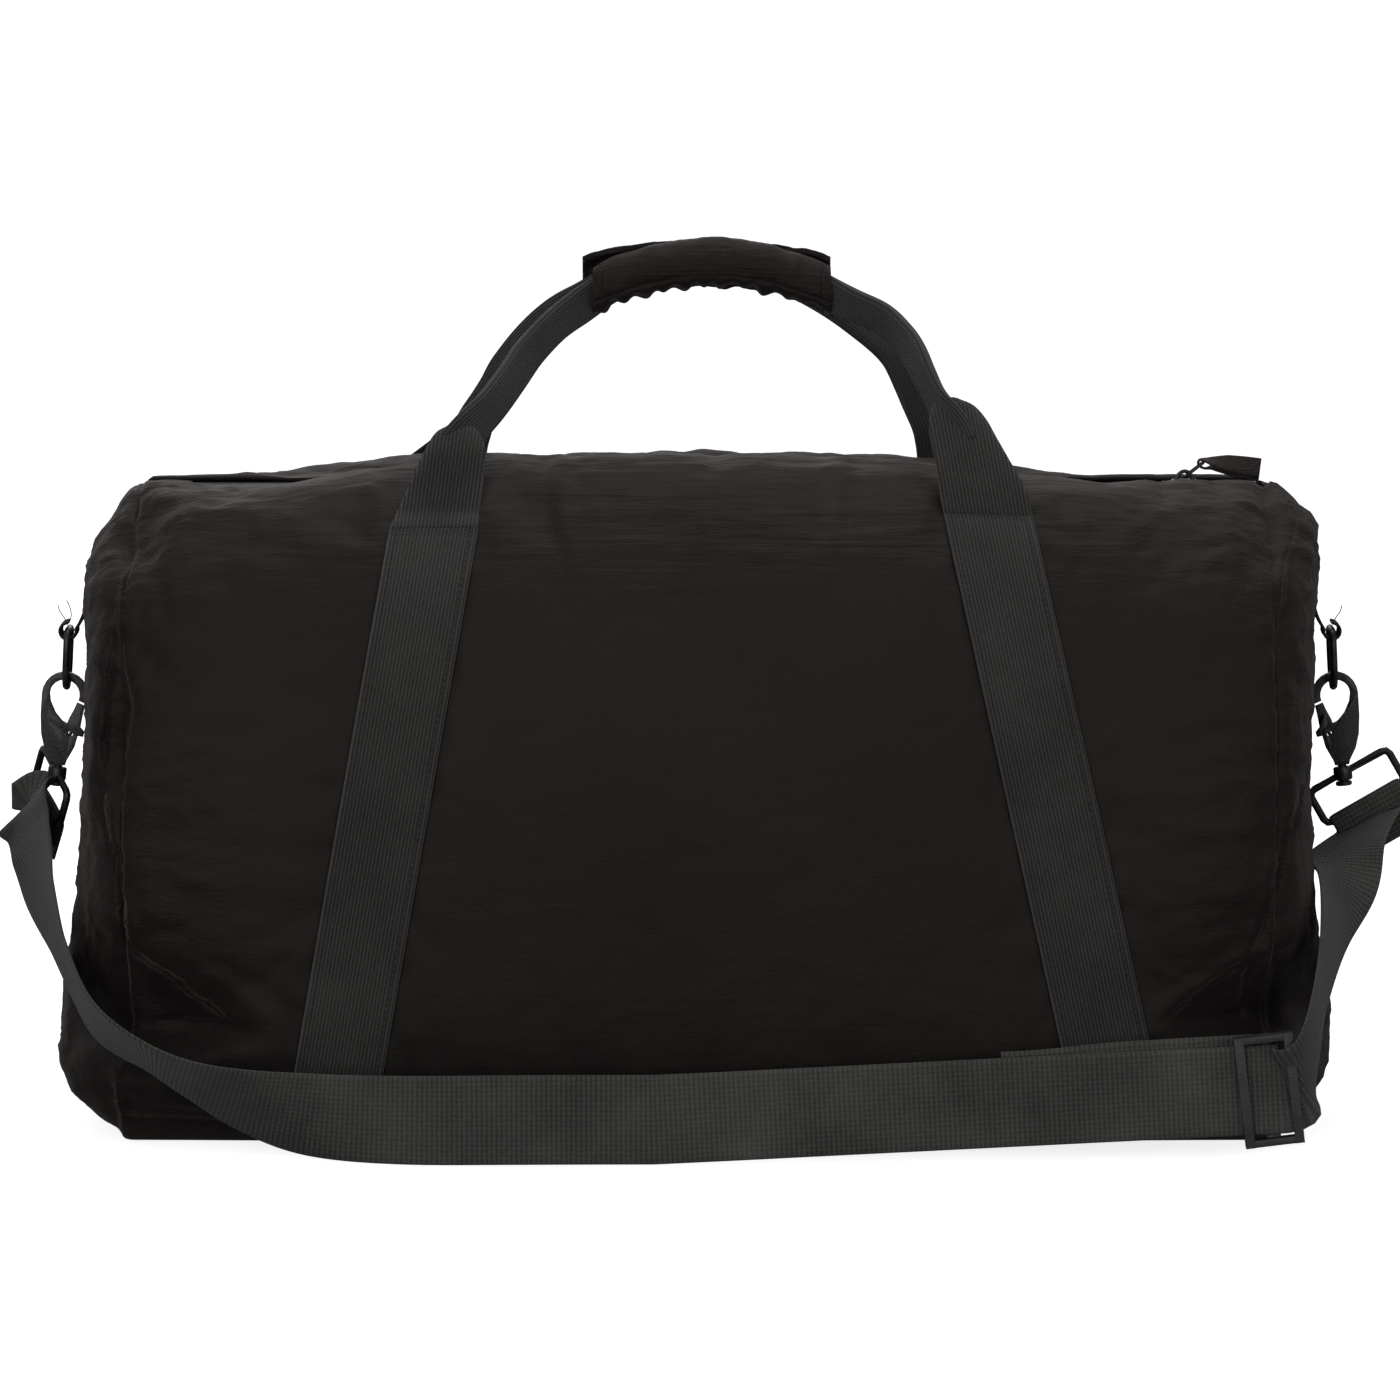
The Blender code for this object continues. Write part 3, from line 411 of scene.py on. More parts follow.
def woven(name, dark, light, across, along, rib, cross, brick=1.0):
    """Webbing with ribs every across metres and picks every along metres.

    The mesh attribute web gives x along and y across the webbing, in metres. rib and cross
    scale the relief; brick 1 sets every second rib half a pick out of step.
    """
    shader = Shader(name)
    u, v, _ = shader.split(
        shader.add("ShaderNodeAttribute", "Vector", {"attribute_name": "web"}))
    ribs = (v * (2 * math.pi / across)).math("SINE")
    shift = (v / across).math("FLOOR").math("MODULO", 2.0) * (math.pi * brick)
    picks = (u * (2 * math.pi / along) + shift).math("SINE")
    place = shader.place()
    fuzz = shader.noise(place, scale=900.0, detail=2.0, roughness=0.6)
    drift = shader.noise(place, scale=22.0, detail=3.0, roughness=0.6)
    # relief heights in metres, then shares of the colour
    height = ribs * (0.00026 * rib) + picks * (0.00018 * cross) + fuzz * 0.00010
    tone = drift * 0.55 + (ribs * (0.13 * rib) + picks * (0.12 * cross)) + fuzz * 0.30
    shader.surface(
        Base_Color=shader.ramp(tone, (0.22, dark), (0.66, light)), Roughness=0.82,
        Specular_IOR_Level=0.25, Sheen_Weight=0.12, Sheen_Roughness=0.5)
    shader.bump(height, strength=0.9, distance=1.0)
    return shader.material


def coated(name, base, worn, rough, metallic=0.0, coat=0.0):
    """Coated metal or moulded plastic: fine orange peel, slightly rubbed edges."""
    shader = Shader(name)
    black, white = (0, 0, 0), (1, 1, 1)
    place = shader.place()
    pointed = shader.add("ShaderNodeNewGeometry", "Pointiness")
    edge = shader.ramp(pointed, (0.50, black), (0.60, white))
    patch = shader.noise(place, scale=160.0, detail=4.0, roughness=0.6)
    rubbed = edge * shader.ramp(patch, (0.42, black), (0.62, white))
    shader.surface(
        Base_Color=shader.mix(rubbed, (*base, 1), (*worn, 1)),
        Roughness=(rough - 0.06) + patch * 0.14, Metallic=metallic, Coat_Weight=coat)
    shader.bump(shader.noise(place, scale=1400.0, detail=2.0, roughness=0.5),
                strength=0.25, distance=0.001)
    return shader.material


NYLON = nylon("crinkled_nylon", dark=(0.0070, 0.0062, 0.0057), light=(0.0127, 0.0107, 0.0098),
              crinkle=1.0, folds=True)
LINING = nylon("lining_cloth", dark=(0.012, 0.012, 0.012), light=(0.020, 0.0195, 0.019),
               crinkle=0.4, folds=False)
HANDLE_WEB = woven("handle_webbing_weave", dark=(0.0150, 0.0143, 0.0133),
                   light=(0.0620, 0.0590, 0.0550), across=0.00155, along=0.0012,
                   rib=1.5, cross=0.6)
STRAP_WEB = woven("strap_webbing_weave", dark=(0.0230, 0.0222, 0.0210),
                  light=(0.0860, 0.0835, 0.0790), across=0.0021, along=0.0021,
                  rib=0.25, cross=0.8, brick=0.0)
TAPE = woven("tape_weave", dark=(0.010, 0.010, 0.0095), light=(0.020, 0.0195, 0.019),
             across=0.0012, along=0.0008, rib=0.6, cross=0.6)
THREAD = coated("sewing_thread", base=(0.012, 0.0115, 0.011), worn=(0.02, 0.02, 0.02),
                rough=0.75)
METAL = coated("black_coated_metal", base=(0.010, 0.010, 0.010), worn=(0.055, 0.052, 0.050),
               rough=0.40, metallic=0.35, coat=0.1)
PIN = coated("blackened_steel", base=(0.030, 0.030, 0.031), worn=(0.10, 0.10, 0.10),
             rough=0.36, metallic=0.85)
PLASTIC = coated("black_moulded_plastic", base=(0.016, 0.016, 0.0155),
                 worn=(0.035, 0.034, 0.033), rough=0.48)
BOARD = coated("board_sheet", base=(0.02, 0.02, 0.02), worn=(0.03, 0.03, 0.03), rough=0.6)


# ---------------------------------------------------------------- mesh helpers
def link_object(name, data):
    made = bpy.data.objects.new(name, data)
    SCENE.collection.objects.link(made)
    return made


def mesh_obj(name, verts, faces, material):
    mesh = bpy.data.meshes.new(name)
    mesh.from_pydata([tuple(map(float, v)) for v in verts], [], faces)
    mesh.validate()
    work = bmesh.new()
    work.from_mesh(mesh)
    bmesh.ops.recalc_face_normals(work, faces=work.faces)
    work.to_mesh(mesh)
    work.free()
    mesh.shade_smooth()
    mesh.materials.append(material)
    return link_object(name, mesh)


def set_web(piece, web):
    """Gives the mesh the place along and across its webbing, which the weave follows."""
    attribute = piece.data.attributes.new("web", "FLOAT_VECTOR", "POINT")
    attribute.data.foreach_set("vector", np.asarray(web, np.float32).ravel())


def apply_modifiers(piece):
    depsgraph = bpy.context.evaluated_depsgraph_get()
    mesh = bpy.data.meshes.new_from_object(
        piece.evaluated_get(depsgraph), preserve_all_data_layers=True, depsgraph=depsgraph)
    old = piece.data
    piece.modifiers.clear()
    piece.data = mesh
    bpy.data.meshes.remove(old)
    mesh.shade_smooth()


def read_vectors(piece, key):
    """Vertex places (co) or normals (normal) as rows."""
    flat = np.zeros(len(piece.data.vertices) * 3, np.float32)
    piece.data.vertices.foreach_get(key, flat)
    return flat.reshape(-1, 3).astype(float)


def set_places(piece, places):
    piece.data.vertices.foreach_set("co", np.asarray(places, np.float32).ravel())
    piece.data.update()


def fit(piece, body, node=None):
    """Hides the CAD node that a piece stands for, and makes the piece move with a body."""
    if node:
        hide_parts(node)
    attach(piece, body)


GROOVE_DEPTH, GROOVE_WIDTH = 0.00055, 0.0008


def webbing(name, grid, normal, material, thick=WEB_T, along=None, across=None, grooves=()):
    """Webbing with thin selvedges round a middle sheet grid (rows, columns, 3).

    normal is anything that broadcasts to the grid. along and across are the woven coordinates
    of rows and columns; grooves lists places across where stitching sinks into the top.
    """
    rows, cols = grid.shape[:2]
    half = np.full(cols, thick / 2)
    half[0] = half[-1] = thick * 0.22
    half[1] = half[-2] = thick * 0.42
    dip = np.zeros(cols)
    for place in grooves:
        dip += GROOVE_DEPTH * np.exp(-((across - place) / GROOVE_WIDTH) ** 2)
    top = grid + normal * (half - dip)[None, :, None]
    low = grid - normal * half[None, :, None]
    verts = np.concatenate([top.reshape(-1, 3), low.reshape(-1, 3)])
    faces = []
    under = rows * cols
    for r in range(rows - 1):
        for c in range(cols - 1):
            a = r * cols + c
            faces.append((a, a + 1, a + cols + 1, a + cols))
            faces.append((under + a, under + a + cols, under + a + cols + 1, under + a + 1))
        a = r * cols
        faces.append((a, a + cols, under + a + cols, under + a))
        a = r * cols + cols - 1
        faces.append((a, under + a, under + a + cols, a + cols))
    for r in (0, rows - 1):
        for c in range(cols - 1):
            a = r * cols + c
            faces.append((a, under + a, under + a + 1, a + 1))
    piece = mesh_obj(name, verts, faces, material)
    if across is not None:
        if along is None:
            along = lengths_along(grid[:, cols // 2])
        web = sheet(along[:, None], across[None, :], 0.0)
        set_web(piece, np.concatenate([web.reshape(-1, 3)] * 2))
    return piece


# Rings of one stitch: place along it, share of its full thickness
STITCH_RINGS = ((-0.5, 0.35), (-0.28, 1.0), (0.28, 1.0), (0.5, 0.35))


def stitches(name, lines, pitch=0.0030, length=0.0022, width=0.00055):
    """Rows of thread along lines of (points, normals); each stitch is a small closed spindle."""
    verts, faces = [], []
    for points, normals in lines:
        dist = lengths_along(points)

        def at(place, rows):
            return np.array([np.interp(place, dist, rows[:, k]) for k in range(3)])
        place = 0.5 * pitch
        while place + length / 2 < dist[-1]:
            tangent = unit(at(place + length / 2, points) - at(place - length / 2, points))
            normal = at(place, normals)
            normal = unit(normal - tangent * (normal @ tangent))
            sideways = np.cross(tangent, normal)
            base = len(verts)
            for share, size in STITCH_RINGS:
                rise = width * (0.32 * (1 - (2 * share) ** 2) - 0.10)
                middle = at(place, points) + tangent * share * length + normal * rise
                for k in range(6):
                    angle = math.pi * k / 3
                    spoke = sideways * math.cos(angle) + normal * math.sin(angle) * 0.8
                    verts.append(middle + spoke * width / 2 * size)
            for ring in range(3):
                for k in range(6):
                    i0, i1 = base + ring * 6 + k, base + ring * 6 + (k + 1) % 6
                    faces.append((i0, i1, i1 + 6, i0 + 6))
            faces.append(tuple(base + k for k in range(5, -1, -1)))
            faces.append(tuple(base + 18 + k for k in range(6)))
            place += pitch
    return mesh_obj(name, verts, faces, THREAD)


def rod(name, points, radius, material, sides):
    points = np.asarray(points, float)
    verts, faces = [], []
    tangents = unit(np.gradient(points, axis=0))
    up = np.array(Vector(tangents[0]).orthogonal().normalized())
    for point, tangent in zip(points, tangents):
        up = up - tangent * (up @ tangent)
        up /= np.linalg.norm(up)
        across = np.cross(tangent, up)
        for k in range(sides):
            angle = 2 * math.pi * k / sides
            verts.append(point + (up * math.cos(angle) + across * math.sin(angle)) * radius)
    last = (len(points) - 1) * sides
    for ring in range(0, last, sides):
        for k in range(sides):
            k2 = (k + 1) % sides
            faces.append((ring + k, ring + k2, ring + sides + k2, ring + sides + k))
    faces.append(tuple(range(sides - 1, -1, -1)))
    faces.append(tuple(last + k for k in range(sides)))
    return mesh_obj(name, verts, faces, material)


# ---------------------------------------------------------------- sheet of the shell
STEP = 0.0050                                        # mesh step round the section
HALF_STEPS = int(round(HALF_LEN / STEP))
LOOP = 2 * HALF_STEPS
ARCS = np.linspace(0, HALF_LEN, HALF_STEPS + 1)
CORNER = int(np.argmin(np.abs(ARCS - 0.1215)))       # lower corner of the end panels' grid
RINGS = 109
BOTTOM_ARC, ZIP_STRIP = 0.1190, 0.0128               # arc of the bottom's edge, half zip opening
ZONES = BOTTOM, ZIP, FRONT, BACK, END_LEFT, END_RIGHT = range(6)


def ring_points(share):
    """Closed section at a share of the half length: front side up, back side down."""
    x = share * seam_x(section_at(ARCS)[1])
    return np.concatenate([skin(x, ARCS, -1), skin(x, ARCS[::-1], 1)[1:-1]])


def tube_zone(k):
    arc = ARCS[k if k < HALF_STEPS else LOOP - 1 - k] + STEP / 2
    if arc < BOTTOM_ARC:
        return BOTTOM
    if arc > HALF_LEN - ZIP_STRIP:
        return ZIP
    return FRONT if k < HALF_STEPS else BACK


def end_grid(tube, ring_start, sign, count):
    """Vertex numbers and new points of a domed end panel, filled in between its four edges."""
    wide, high = 2 * CORNER, HALF_STEPS - 2 * CORNER

    def edge(start, step, length):
        return [ring_start + (start + step * j) % LOOP for j in range(length + 1)]
    bottom, front = edge(-CORNER, 1, wide), edge(CORNER, 1, high)
    top, back = edge(HALF_STEPS + CORNER, -1, wide), edge(-CORNER, -1, high)
    grid = np.zeros((wide + 1, high + 1), int)
    grid[:, 0], grid[:, high] = bottom, top
    grid[wide, :], grid[0, :] = front, back
    points = []
    for a in range(1, wide):
        for b in range(1, high):
            s, t = a / wide, b / high
            corners = ((1 - s) * (1 - t) * tube[bottom[0]] + s * (1 - t) * tube[bottom[wide]]
                       + (1 - s) * t * tube[top[0]] + s * t * tube[top[wide]])
            _, y, z = ((1 - t) * tube[bottom[a]] + t * tube[top[a]]
                       + (1 - s) * tube[back[b]] + s * tube[front[b]] - corners)
            rim = min((abs(2 * s - 1) ** 5 + abs(2 * t - 1) ** 5) ** 0.2, 1.0)
            bulge = DOME_TOP + DOME_LOW * float(smoothstep((0.112 - z) / 0.080))
            x = float(seam_x(z)) + 0.0005 + bulge * (1 - rim ** 4.5)
            grid[a, b] = count + len(points)
            points.append((sign * x, y, z))
    return grid.tolist(), points


def shell_base():
    """One closed sheet: a tube of front, bottom, back and top, plus a gridded panel per end."""
    tube = np.concatenate([ring_points(share) for share in np.linspace(-1, 1, RINGS)])
    faces, zones = [], []
    for i in range(0, (RINGS - 1) * LOOP, LOOP):
        for k in range(LOOP):
            k2 = (k + 1) % LOOP
            faces.append((i + k, i + k2, i + LOOP + k2, i + LOOP + k))
            zones.append(tube_zone(k))
    verts = tube
    for sign, ring, zone in ((-1, 0, END_LEFT), (1, RINGS - 1, END_RIGHT)):
        grid, points = end_grid(tube, ring * LOOP, sign, len(verts))
        verts = np.concatenate([verts, np.array(points)])
        for near, far in zip(grid, grid[1:]):
            for b in range(len(near) - 1):
                face = (near[b], far[b], far[b + 1], near[b + 1])
                faces.append(face if sign < 0 else face[::-1])
                zones.append(zone)
    return verts, faces, zones


# Soft dents and bulges: amount, centre, radii, direction
SWELLS = [
    # lower front and rear corners
    (0.0050, (0.236, -0.136, 0.075), (0.030, 0.05, 0.030), (-0.25, 1.0, 0.0)),
    (0.0050, (-0.232, -0.136, 0.072), (0.030, 0.05, 0.030), (0.25, 1.0, 0.0)),
    (0.009, (0.230, 0.136, 0.075), (0.035, 0.05, 0.030), (-0.25, -1.0, 0.0)),
    (0.008, (-0.228, 0.136, 0.080), (0.035, 0.05, 0.030), (0.25, -1.0, 0.0)),
    # end panels
    (0.0045, (0.262, -0.01, 0.150), (0.03, 0.06, 0.022), (-1, 0, 0)),
    (0.0035, (0.262, 0.0, 0.060), (0.03, 0.10, 0.045), (1, 0, 0)),
    (0.0072, (-0.262, -0.015, 0.076), (0.05, 0.085, 0.080), (-1, 0, 0)),
    (0.0050, (-0.262, -0.02, 0.240), (0.03, 0.09, 0.030), (-1, 0, 0)),
    (0.0085, (0.262, -0.03, 0.246), (0.03, 0.09, 0.030), (1, 0, 0)),
    (0.0085, (-0.262, -0.075, 0.022), (0.03, 0.07, 0.026), (-1, 0, 0)),
    (0.0050, (0.262, -0.075, 0.022), (0.03, 0.07, 0.026), (1, 0, 0)),
    (0.0125, (0.250, -0.070, 0.270), (0.018, 0.060, 0.018), (1, 0, 0)),
    (0.0030, (-0.262, -0.060, 0.252), (0.03, 0.08, 0.024), (-1, 0, 0)),
    # tucks at the front top corners, and the top sagging
    (0.0085, (-0.243, -0.083, 0.262), (0.011, 0.035, 0.015), (0.6, 0.5, -0.6)),
    (0.0050, (0.243, -0.083, 0.262), (0.012, 0.030, 0.014), (-0.5, 0.5, -0.6)),
    (0.0050, (0.150, -0.060, 0.288), (0.080, 0.030, 0.02), (0, 0, -1)),
    (0.0040, (-0.170, -0.060, 0.288), (0.060, 0.030, 0.02), (0, 0, -1)),
    # rear bottom corners lift
    (0.0060, (-0.250, 0.120, 0.004), (0.030, 0.030, 0.02), (0, 0, 1)),
    (0.0060, (0.250, 0.120, 0.004), (0.030, 0.030, 0.02), (0, 0, 1)),
    # slack of the long panels between the sewn webbings
    (0.0028, (0.0, -0.143, 0.175), (0.11, 0.03, 0.07), (0, -1, 0)),
    (0.0028, (0.0, 0.143, 0.160), (0.12, 0.03, 0.08), (0, 1, 0))]
# Long folds by the end seams: start, end, radius, amount, direction, strength along the fold
FOLDS = [
    ((-0.2480, -0.131, 0.222), (-0.2540, -0.128, 0.150), 0.0060, 0.0140, (0.75, 0.66, 0.0),
     lambda t: np.sin(np.pi * (t * 0.9 + 0.05))),
    ((-0.2600, -0.118, 0.222), (-0.2650, -0.116, 0.150), 0.012, 0.0045, (-0.8, -0.5, 0.0),
     lambda t: 1.0),
    ((0.2500, -0.129, 0.175), (0.2360, -0.136, 0.085), 0.0085, 0.0034, (-0.2, 0.95, 0.0),
     lambda t: np.sin(np.pi * np.clip(t, 0.02, 0.98))),
    ((0.2500, -0.125, 0.250), (0.2540, -0.133, 0.165), 0.005, 0.0022, (0.4, -0.9, 0.0),
     lambda t: 1.0)]
# Change of height of the top ridges along x; the front one is the same to both sides
FRONT_RIDGE = ([0, 0.06, 0.13, 0.20, 0.235, 0.26],
               [0.0062, 0.0056, 0.0020, -0.0020, -0.0035, -0.0040])
REAR_RIDGE = ([-0.26, -0.235, -0.20, -0.13, -0.06, 0, 0.06, 0.13, 0.20, 0.235, 0.26],
              [-0.0120, -0.0148, -0.0100, -0.0055, -0.0030, -0.0022, -0.0045, -0.0096, -0.0148,
               -0.0150, -0.0120])


def lip_dent(places, sign, x0, x1, z_low, z_high, depth):
    """Front cloth sagging inwards under a slanting edge, back out over a sharp lip."""
    x, y, z = places.T
    x = x * sign
    share = np.clip((x - x0) / (x1 - x0), 0, 1)
    edge = z_low + (z_high - z_low) * share ** 0.85 + 0.002
    fall = np.clip((edge - z) / (edge - z_low + 1e-6), 0, 1)
    amount = np.where(z >= z_low, fall, np.exp(-((z_low - z) / 0.0075) ** 2))
    amount = amount * smoothstep(share * 1.5) * smoothstep((x1 + 0.020 - x) / 0.022)
    amount = amount * smoothstep((-y - 0.07) / 0.03)
    return (amount * depth)[:, None] * np.array([-0.25 * sign, 1.0, 0.0])


def macro_shape(places):
    """Large folds and dents that a part-filled nylon bag takes."""
    x, y, z = places.T
    out = lip_dent(places, 1, 0.190, 0.262, 0.056, 0.094, 0.0230)
    out += lip_dent(places, -1, 0.176, 0.256, 0.053, 0.100, 0.0150)
    for amount, centre, radii, direction in SWELLS:
        off = (places - np.array(centre)) / np.array(radii)
        fall = np.exp(-np.sum(off * off, axis=1))
        out += fall[:, None] * amount * np.array(direction, float)
    for start, end, radius, amount, direction, strength in FOLDS:
        start, end = np.array(start), np.array(end)
        span = end - start
        t = np.clip(((places - start) @ span) / (span @ span), 0, 1)
        dist = np.linalg.norm(places - (start + t[:, None] * span), axis=1)
        fall = np.exp(-dist * dist / (radius * radius))
        out += (fall * amount * strength(t))[:, None] * np.array(direction)
    far_x, far_y = np.abs(x), np.abs(y)
    ridge = (smoothstep((z - 0.225) / 0.045) * smoothstep((far_y - 0.0175) / 0.022)
             * (1 - smoothstep((far_y - 0.088) / 0.034)))
    out[:, 2] += ridge * np.where(y < 0, np.interp(far_x, *FRONT_RIDGE),
                                  np.interp(x, *REAR_RIDGE))
    # the lower front edge rises towards the corners
    out[:, 2] += (0.0125 * smoothstep((far_x - 0.120) / 0.135)
                  * smoothstep((-y - 0.093) / 0.028) * (1 - smoothstep(z / 0.055)))
    return places + out


# Sewn handle webbings: node, side, x at the stitched top, x at the floor, height of the top
SEWN_STRAPS = [
    ("front_strap_left", -1, -0.1125, -0.1600, 0.2634),
    ("front_strap_right", -1, 0.1230, 0.1830, STITCH_Z),
    ("rear_strap_left", 1, -0.1180, -0.1640, STITCH_Z),
    ("rear_strap_right", 1, 0.1200, 0.1790, STITCH_Z)]


def strap_x(z, x_top, x_low):
    return x_low + (x_top - x_low) * (z / STITCH_Z)


CLOTH = dict(
    quality=4, mass=0.18, tension_stiffness=18, compression_stiffness=12, shear_stiffness=6,
    bending_stiffness=0.06, tension_damping=8, compression_damping=8, shear_damping=8,
    bending_damping=0.5, air_damping=4, vertex_group_mass="pin", pin_stiffness=1.5,
    use_pressure=True, uniform_pressure_force=1.1, shrink_min=-0.030)
CLOTH_FRAMES = 24
CLOTH_CAP, CLOTH_SHARE = 0.0050, 0.72        # furthest move kept, and the share of it used
ZIP_PLATE = 0.0190                           # arc beside the zip that stays still


def pin_weights(base, on_tube, arc):
    """How firmly the cloth is held at seams, zip, bottom, webbings and ring tapes."""
    x, y, z = base.T
    rules = [
        (on_tube & (arc > HALF_LEN - ZIP_PLATE), 1.0),
        (on_tube & (arc < 0.108), 1.0),
        (on_tube & (np.abs(arc - 0.1195) < 0.004), 0.8),
        (np.abs(np.abs(x) - seam_x(z)) < 0.0026, 0.85),
        (~on_tube & (np.abs(y) < 0.014) & (z > 0.205) & (z < 0.245), 0.9)]
    for _, side, x_top, x_low, _ in SEWN_STRAPS:
        near = np.abs(x - strap_x(z, x_top, x_low)) < 0.0195
        rules.append((on_tube & (np.sign(y) == side) & near & (z < 0.272) & (arc > 0.12), 0.55))
    return reduce(np.maximum, [np.where(mask, weight, 0.0) for mask, weight in rules])


def inflate(piece, start, pin, on_tube, arc):
    """Blows the sheet up as cloth and gives back its tamed new places."""
    group = piece.vertex_groups.new(name="pin")
    for weight in np.unique(pin[pin > 0]):
        group.add([int(i) for i in np.nonzero(pin == weight)[0]], float(weight), "REPLACE")
    cloth = piece.modifiers.new("cloth", "CLOTH")
    for key, setting in CLOTH.items():
        setattr(cloth.settings, key, setting)
    cloth.settings.effector_weights.gravity = 0.0
    cloth.collision_settings.use_collision = False
    cloth.collision_settings.use_self_collision = False
    cloth.point_cache.frame_start = 1
    cloth.point_cache.frame_end = 26
    for number in range(1, CLOTH_FRAMES + 1):
        SCENE.frame_set(number)
    apply_modifiers(piece)
    SCENE.frame_set(1)
    move = read_vectors(piece, "co") - start
    size = np.linalg.norm(move, axis=1)
    capped = CLOTH_CAP * np.tanh(size / CLOTH_CAP) / (size + 1e-12)
    move *= capped[:, None] * CLOTH_SHARE
    move[:, 0] *= np.where(on_tube, 1.0, 0.30)
    still = on_tube & ((arc > HALF_LEN - ZIP_PLATE) | (arc < 0.112))
    return start + move * np.where(still, 0.0, 1.0)[:, None]


def fractal(places, scale, seed, octaves, stretch):
    offset = Vector((seed * 3.1, seed * 7.7, seed * 1.3))
    return np.array([noise.fractal(Vector(place) * scale + offset, 1.0, 2.0, octaves)
                     for place in places * np.array(stretch)])


def crinkle_relief(places):
    """Height of the fine standing creases and of the pulled-in end seams."""
    far_x, z = np.abs(places[:, 0]), places[:, 2]
    near_end = smoothstep((far_x - 0.175) / 0.06)
    near_top = smoothstep((z - 0.215) / 0.06)
    coarse = fractal(places, scale=42.0, seed=1.0, octaves=4, stretch=(1.0, 1.0, 2.4))
    fine = fractal(places, scale=120.0, seed=2.0, octaves=3, stretch=(0.7, 1.0, 2.2))
    ridges = 1.0 - 2.0 * np.abs(
        fractal(places, scale=30.0, seed=5.0, octaves=3, stretch=(1.0, 1.0, 1.5)))
    height = (0.00042 * coarse + 0.00016 * fine
              + 0.00045 * np.clip(ridges, -1, 1) ** 3 * 0.6)
    height *= 0.50 + 2.3 * near_end + 0.9 * near_top
    off_floor = smoothstep((z - 0.002) / 0.02)
    off_zip = smoothstep((np.abs(places[:, 1]) - 0.017) / 0.01)
    height *= off_floor * np.where(z > 0.27, off_zip, 1.0)
    return height - 0.0028 * np.exp(-((far_x - seam_x(z)) / 0.0022) ** 2) * off_floor


def build_shell():
    base, faces, zones = shell_base()
    places = macro_shape(base)
    index = np.arange(len(base))
    on_tube = index < RINGS * LOOP
    ring_index = index % LOOP
    arc_index = np.where(ring_index <= HALF_STEPS, ring_index, LOOP - ring_index)
    arc = np.where(on_tube, ARCS[arc_index], 0.3)
    pin = pin_weights(base, on_tube, arc)
    piece = mesh_obj("shell_sheet", places, faces, NYLON)
    attribute = piece.data.attributes.new("zone", "INT", "FACE")
    attribute.data.foreach_set("value", np.array(zones, np.int32))
    set_places(piece, inflate(piece, places, pin, on_tube, arc))
    subdivide = piece.modifiers.new("sub", "SUBSURF")
    subdivide.levels = subdivide.render_levels = 1
    apply_modifiers(piece)
    places = read_vectors(piece, "co")
    places = places + read_vectors(piece, "normal") * crinkle_relief(places)[:, None]
    places[:, 2] = np.maximum(places[:, 2], 0.0)
    set_places(piece, places)
    return piece


PANELS = {BOTTOM: "bottom_panel", FRONT: "front_panel", BACK: "back_panel",
          END_LEFT: "end_panel_left", END_RIGHT: "end_panel_right"}


def cut_panels(source, places, polygons):
    """Cuts the sheet into the sewn panels, leaving out the zip strip, and thickens them."""
    zone = np.zeros(len(polygons), np.int32)
    source.data.attributes["zone"].data.foreach_get("value", zone)
    for number, node_name in PANELS.items():
        chosen = [polygons[i] for i in np.nonzero(zone == number)[0]]
        used = sorted({v for face in chosen for v in face})
        renumber = {v: i for i, v in enumerate(used)}
        mesh = bpy.data.meshes.new(node_name + "_cloth")
        mesh.from_pydata([tuple(places[v]) for v in used], [],
                         [tuple(renumber[v] for v in face) for face in chosen])
        mesh.materials.append(NYLON)
        panel = link_object(node_name + "_cloth", mesh)
        sample = list(mesh.polygons)[:50]
        centre = np.mean([face.center for face in sample], axis=0) - np.array([0, 0, 0.14])
        if float(np.dot(centre, np.mean([face.normal for face in sample], axis=0))) < 0:
            mesh.flip_normals()
        solid = panel.modifiers.new("cloth_thickness", "SOLIDIFY")
        solid.thickness = 0.0014
        solid.offset = -1
        apply_modifiers(panel)
        fit(panel, "bag", node_name)


shell = build_shell()
shell_places = read_vectors(shell, "co")
shell_polygons = [tuple(face.vertices) for face in shell.data.polygons]
SHELL_TREE = BVHTree.FromPolygons([Vector(v) for v in shell_places], shell_polygons)
cut_panels(shell, shell_places, shell_polygons)
bpy.data.objects.remove(shell)


def shell_offset(points, normals):
    """Offset of the finished shell from each point, measured along its normal."""
    lift, reach = 0.03, 0.06
    out = np.zeros(points.shape[:-1])
    for place in np.ndindex(out.shape):
        normal = Vector(normals[place])
        hit = SHELL_TREE.ray_cast(Vector(points[place]) + normal * lift, -normal, reach)
        if hit[0] is not None:
            out[place] = lift - hit[3]
    return out


# ---------------------------------------------------------------- binding tape in the end seams
BINDING_X, BINDING_W = 0.2365, 0.0080


def seam_binding(label, sign):
    """Tape inside an end seam, from beside the zip down the front and up the back."""
    rising = np.arange(0.0, HALF_LEN - 0.0235, 0.0035)
    arcs = np.concatenate([rising[::-1], rising[1:]])
    sides = np.concatenate([-np.ones(len(rising)), np.ones(len(rising) - 1)])
    across = np.linspace(-BINDING_W / 2, BINDING_W / 2, 7)
    grid, normal = skin_frame(sign * BINDING_X + across[None, :], arcs[:, None], sides[:, None])
    lowest = shell_offset(grid, normal).min(axis=1)
    lowest = [lowest[max(i - 3, 0):i + 4].min() for i in range(len(lowest))]
    grid = grid + normal * (smooth_rows(lowest, 4) - 0.0042)[:, None, None]
    tape = webbing("seam_binding_tape_" + label, grid, normal, TAPE, thick=0.0009,
                   across=across)
    fit(tape, "bag", "seam_binding_" + label)


for label, sign in SIDES:
    seam_binding(label, sign)

# ---------------------------------------------------------------- sewn webbing of the handles
STRAP_START_ARC = 0.1260
STITCH_EDGE = WEB_W / 2 - 0.0038        # lines of stitching from the middle of the webbing


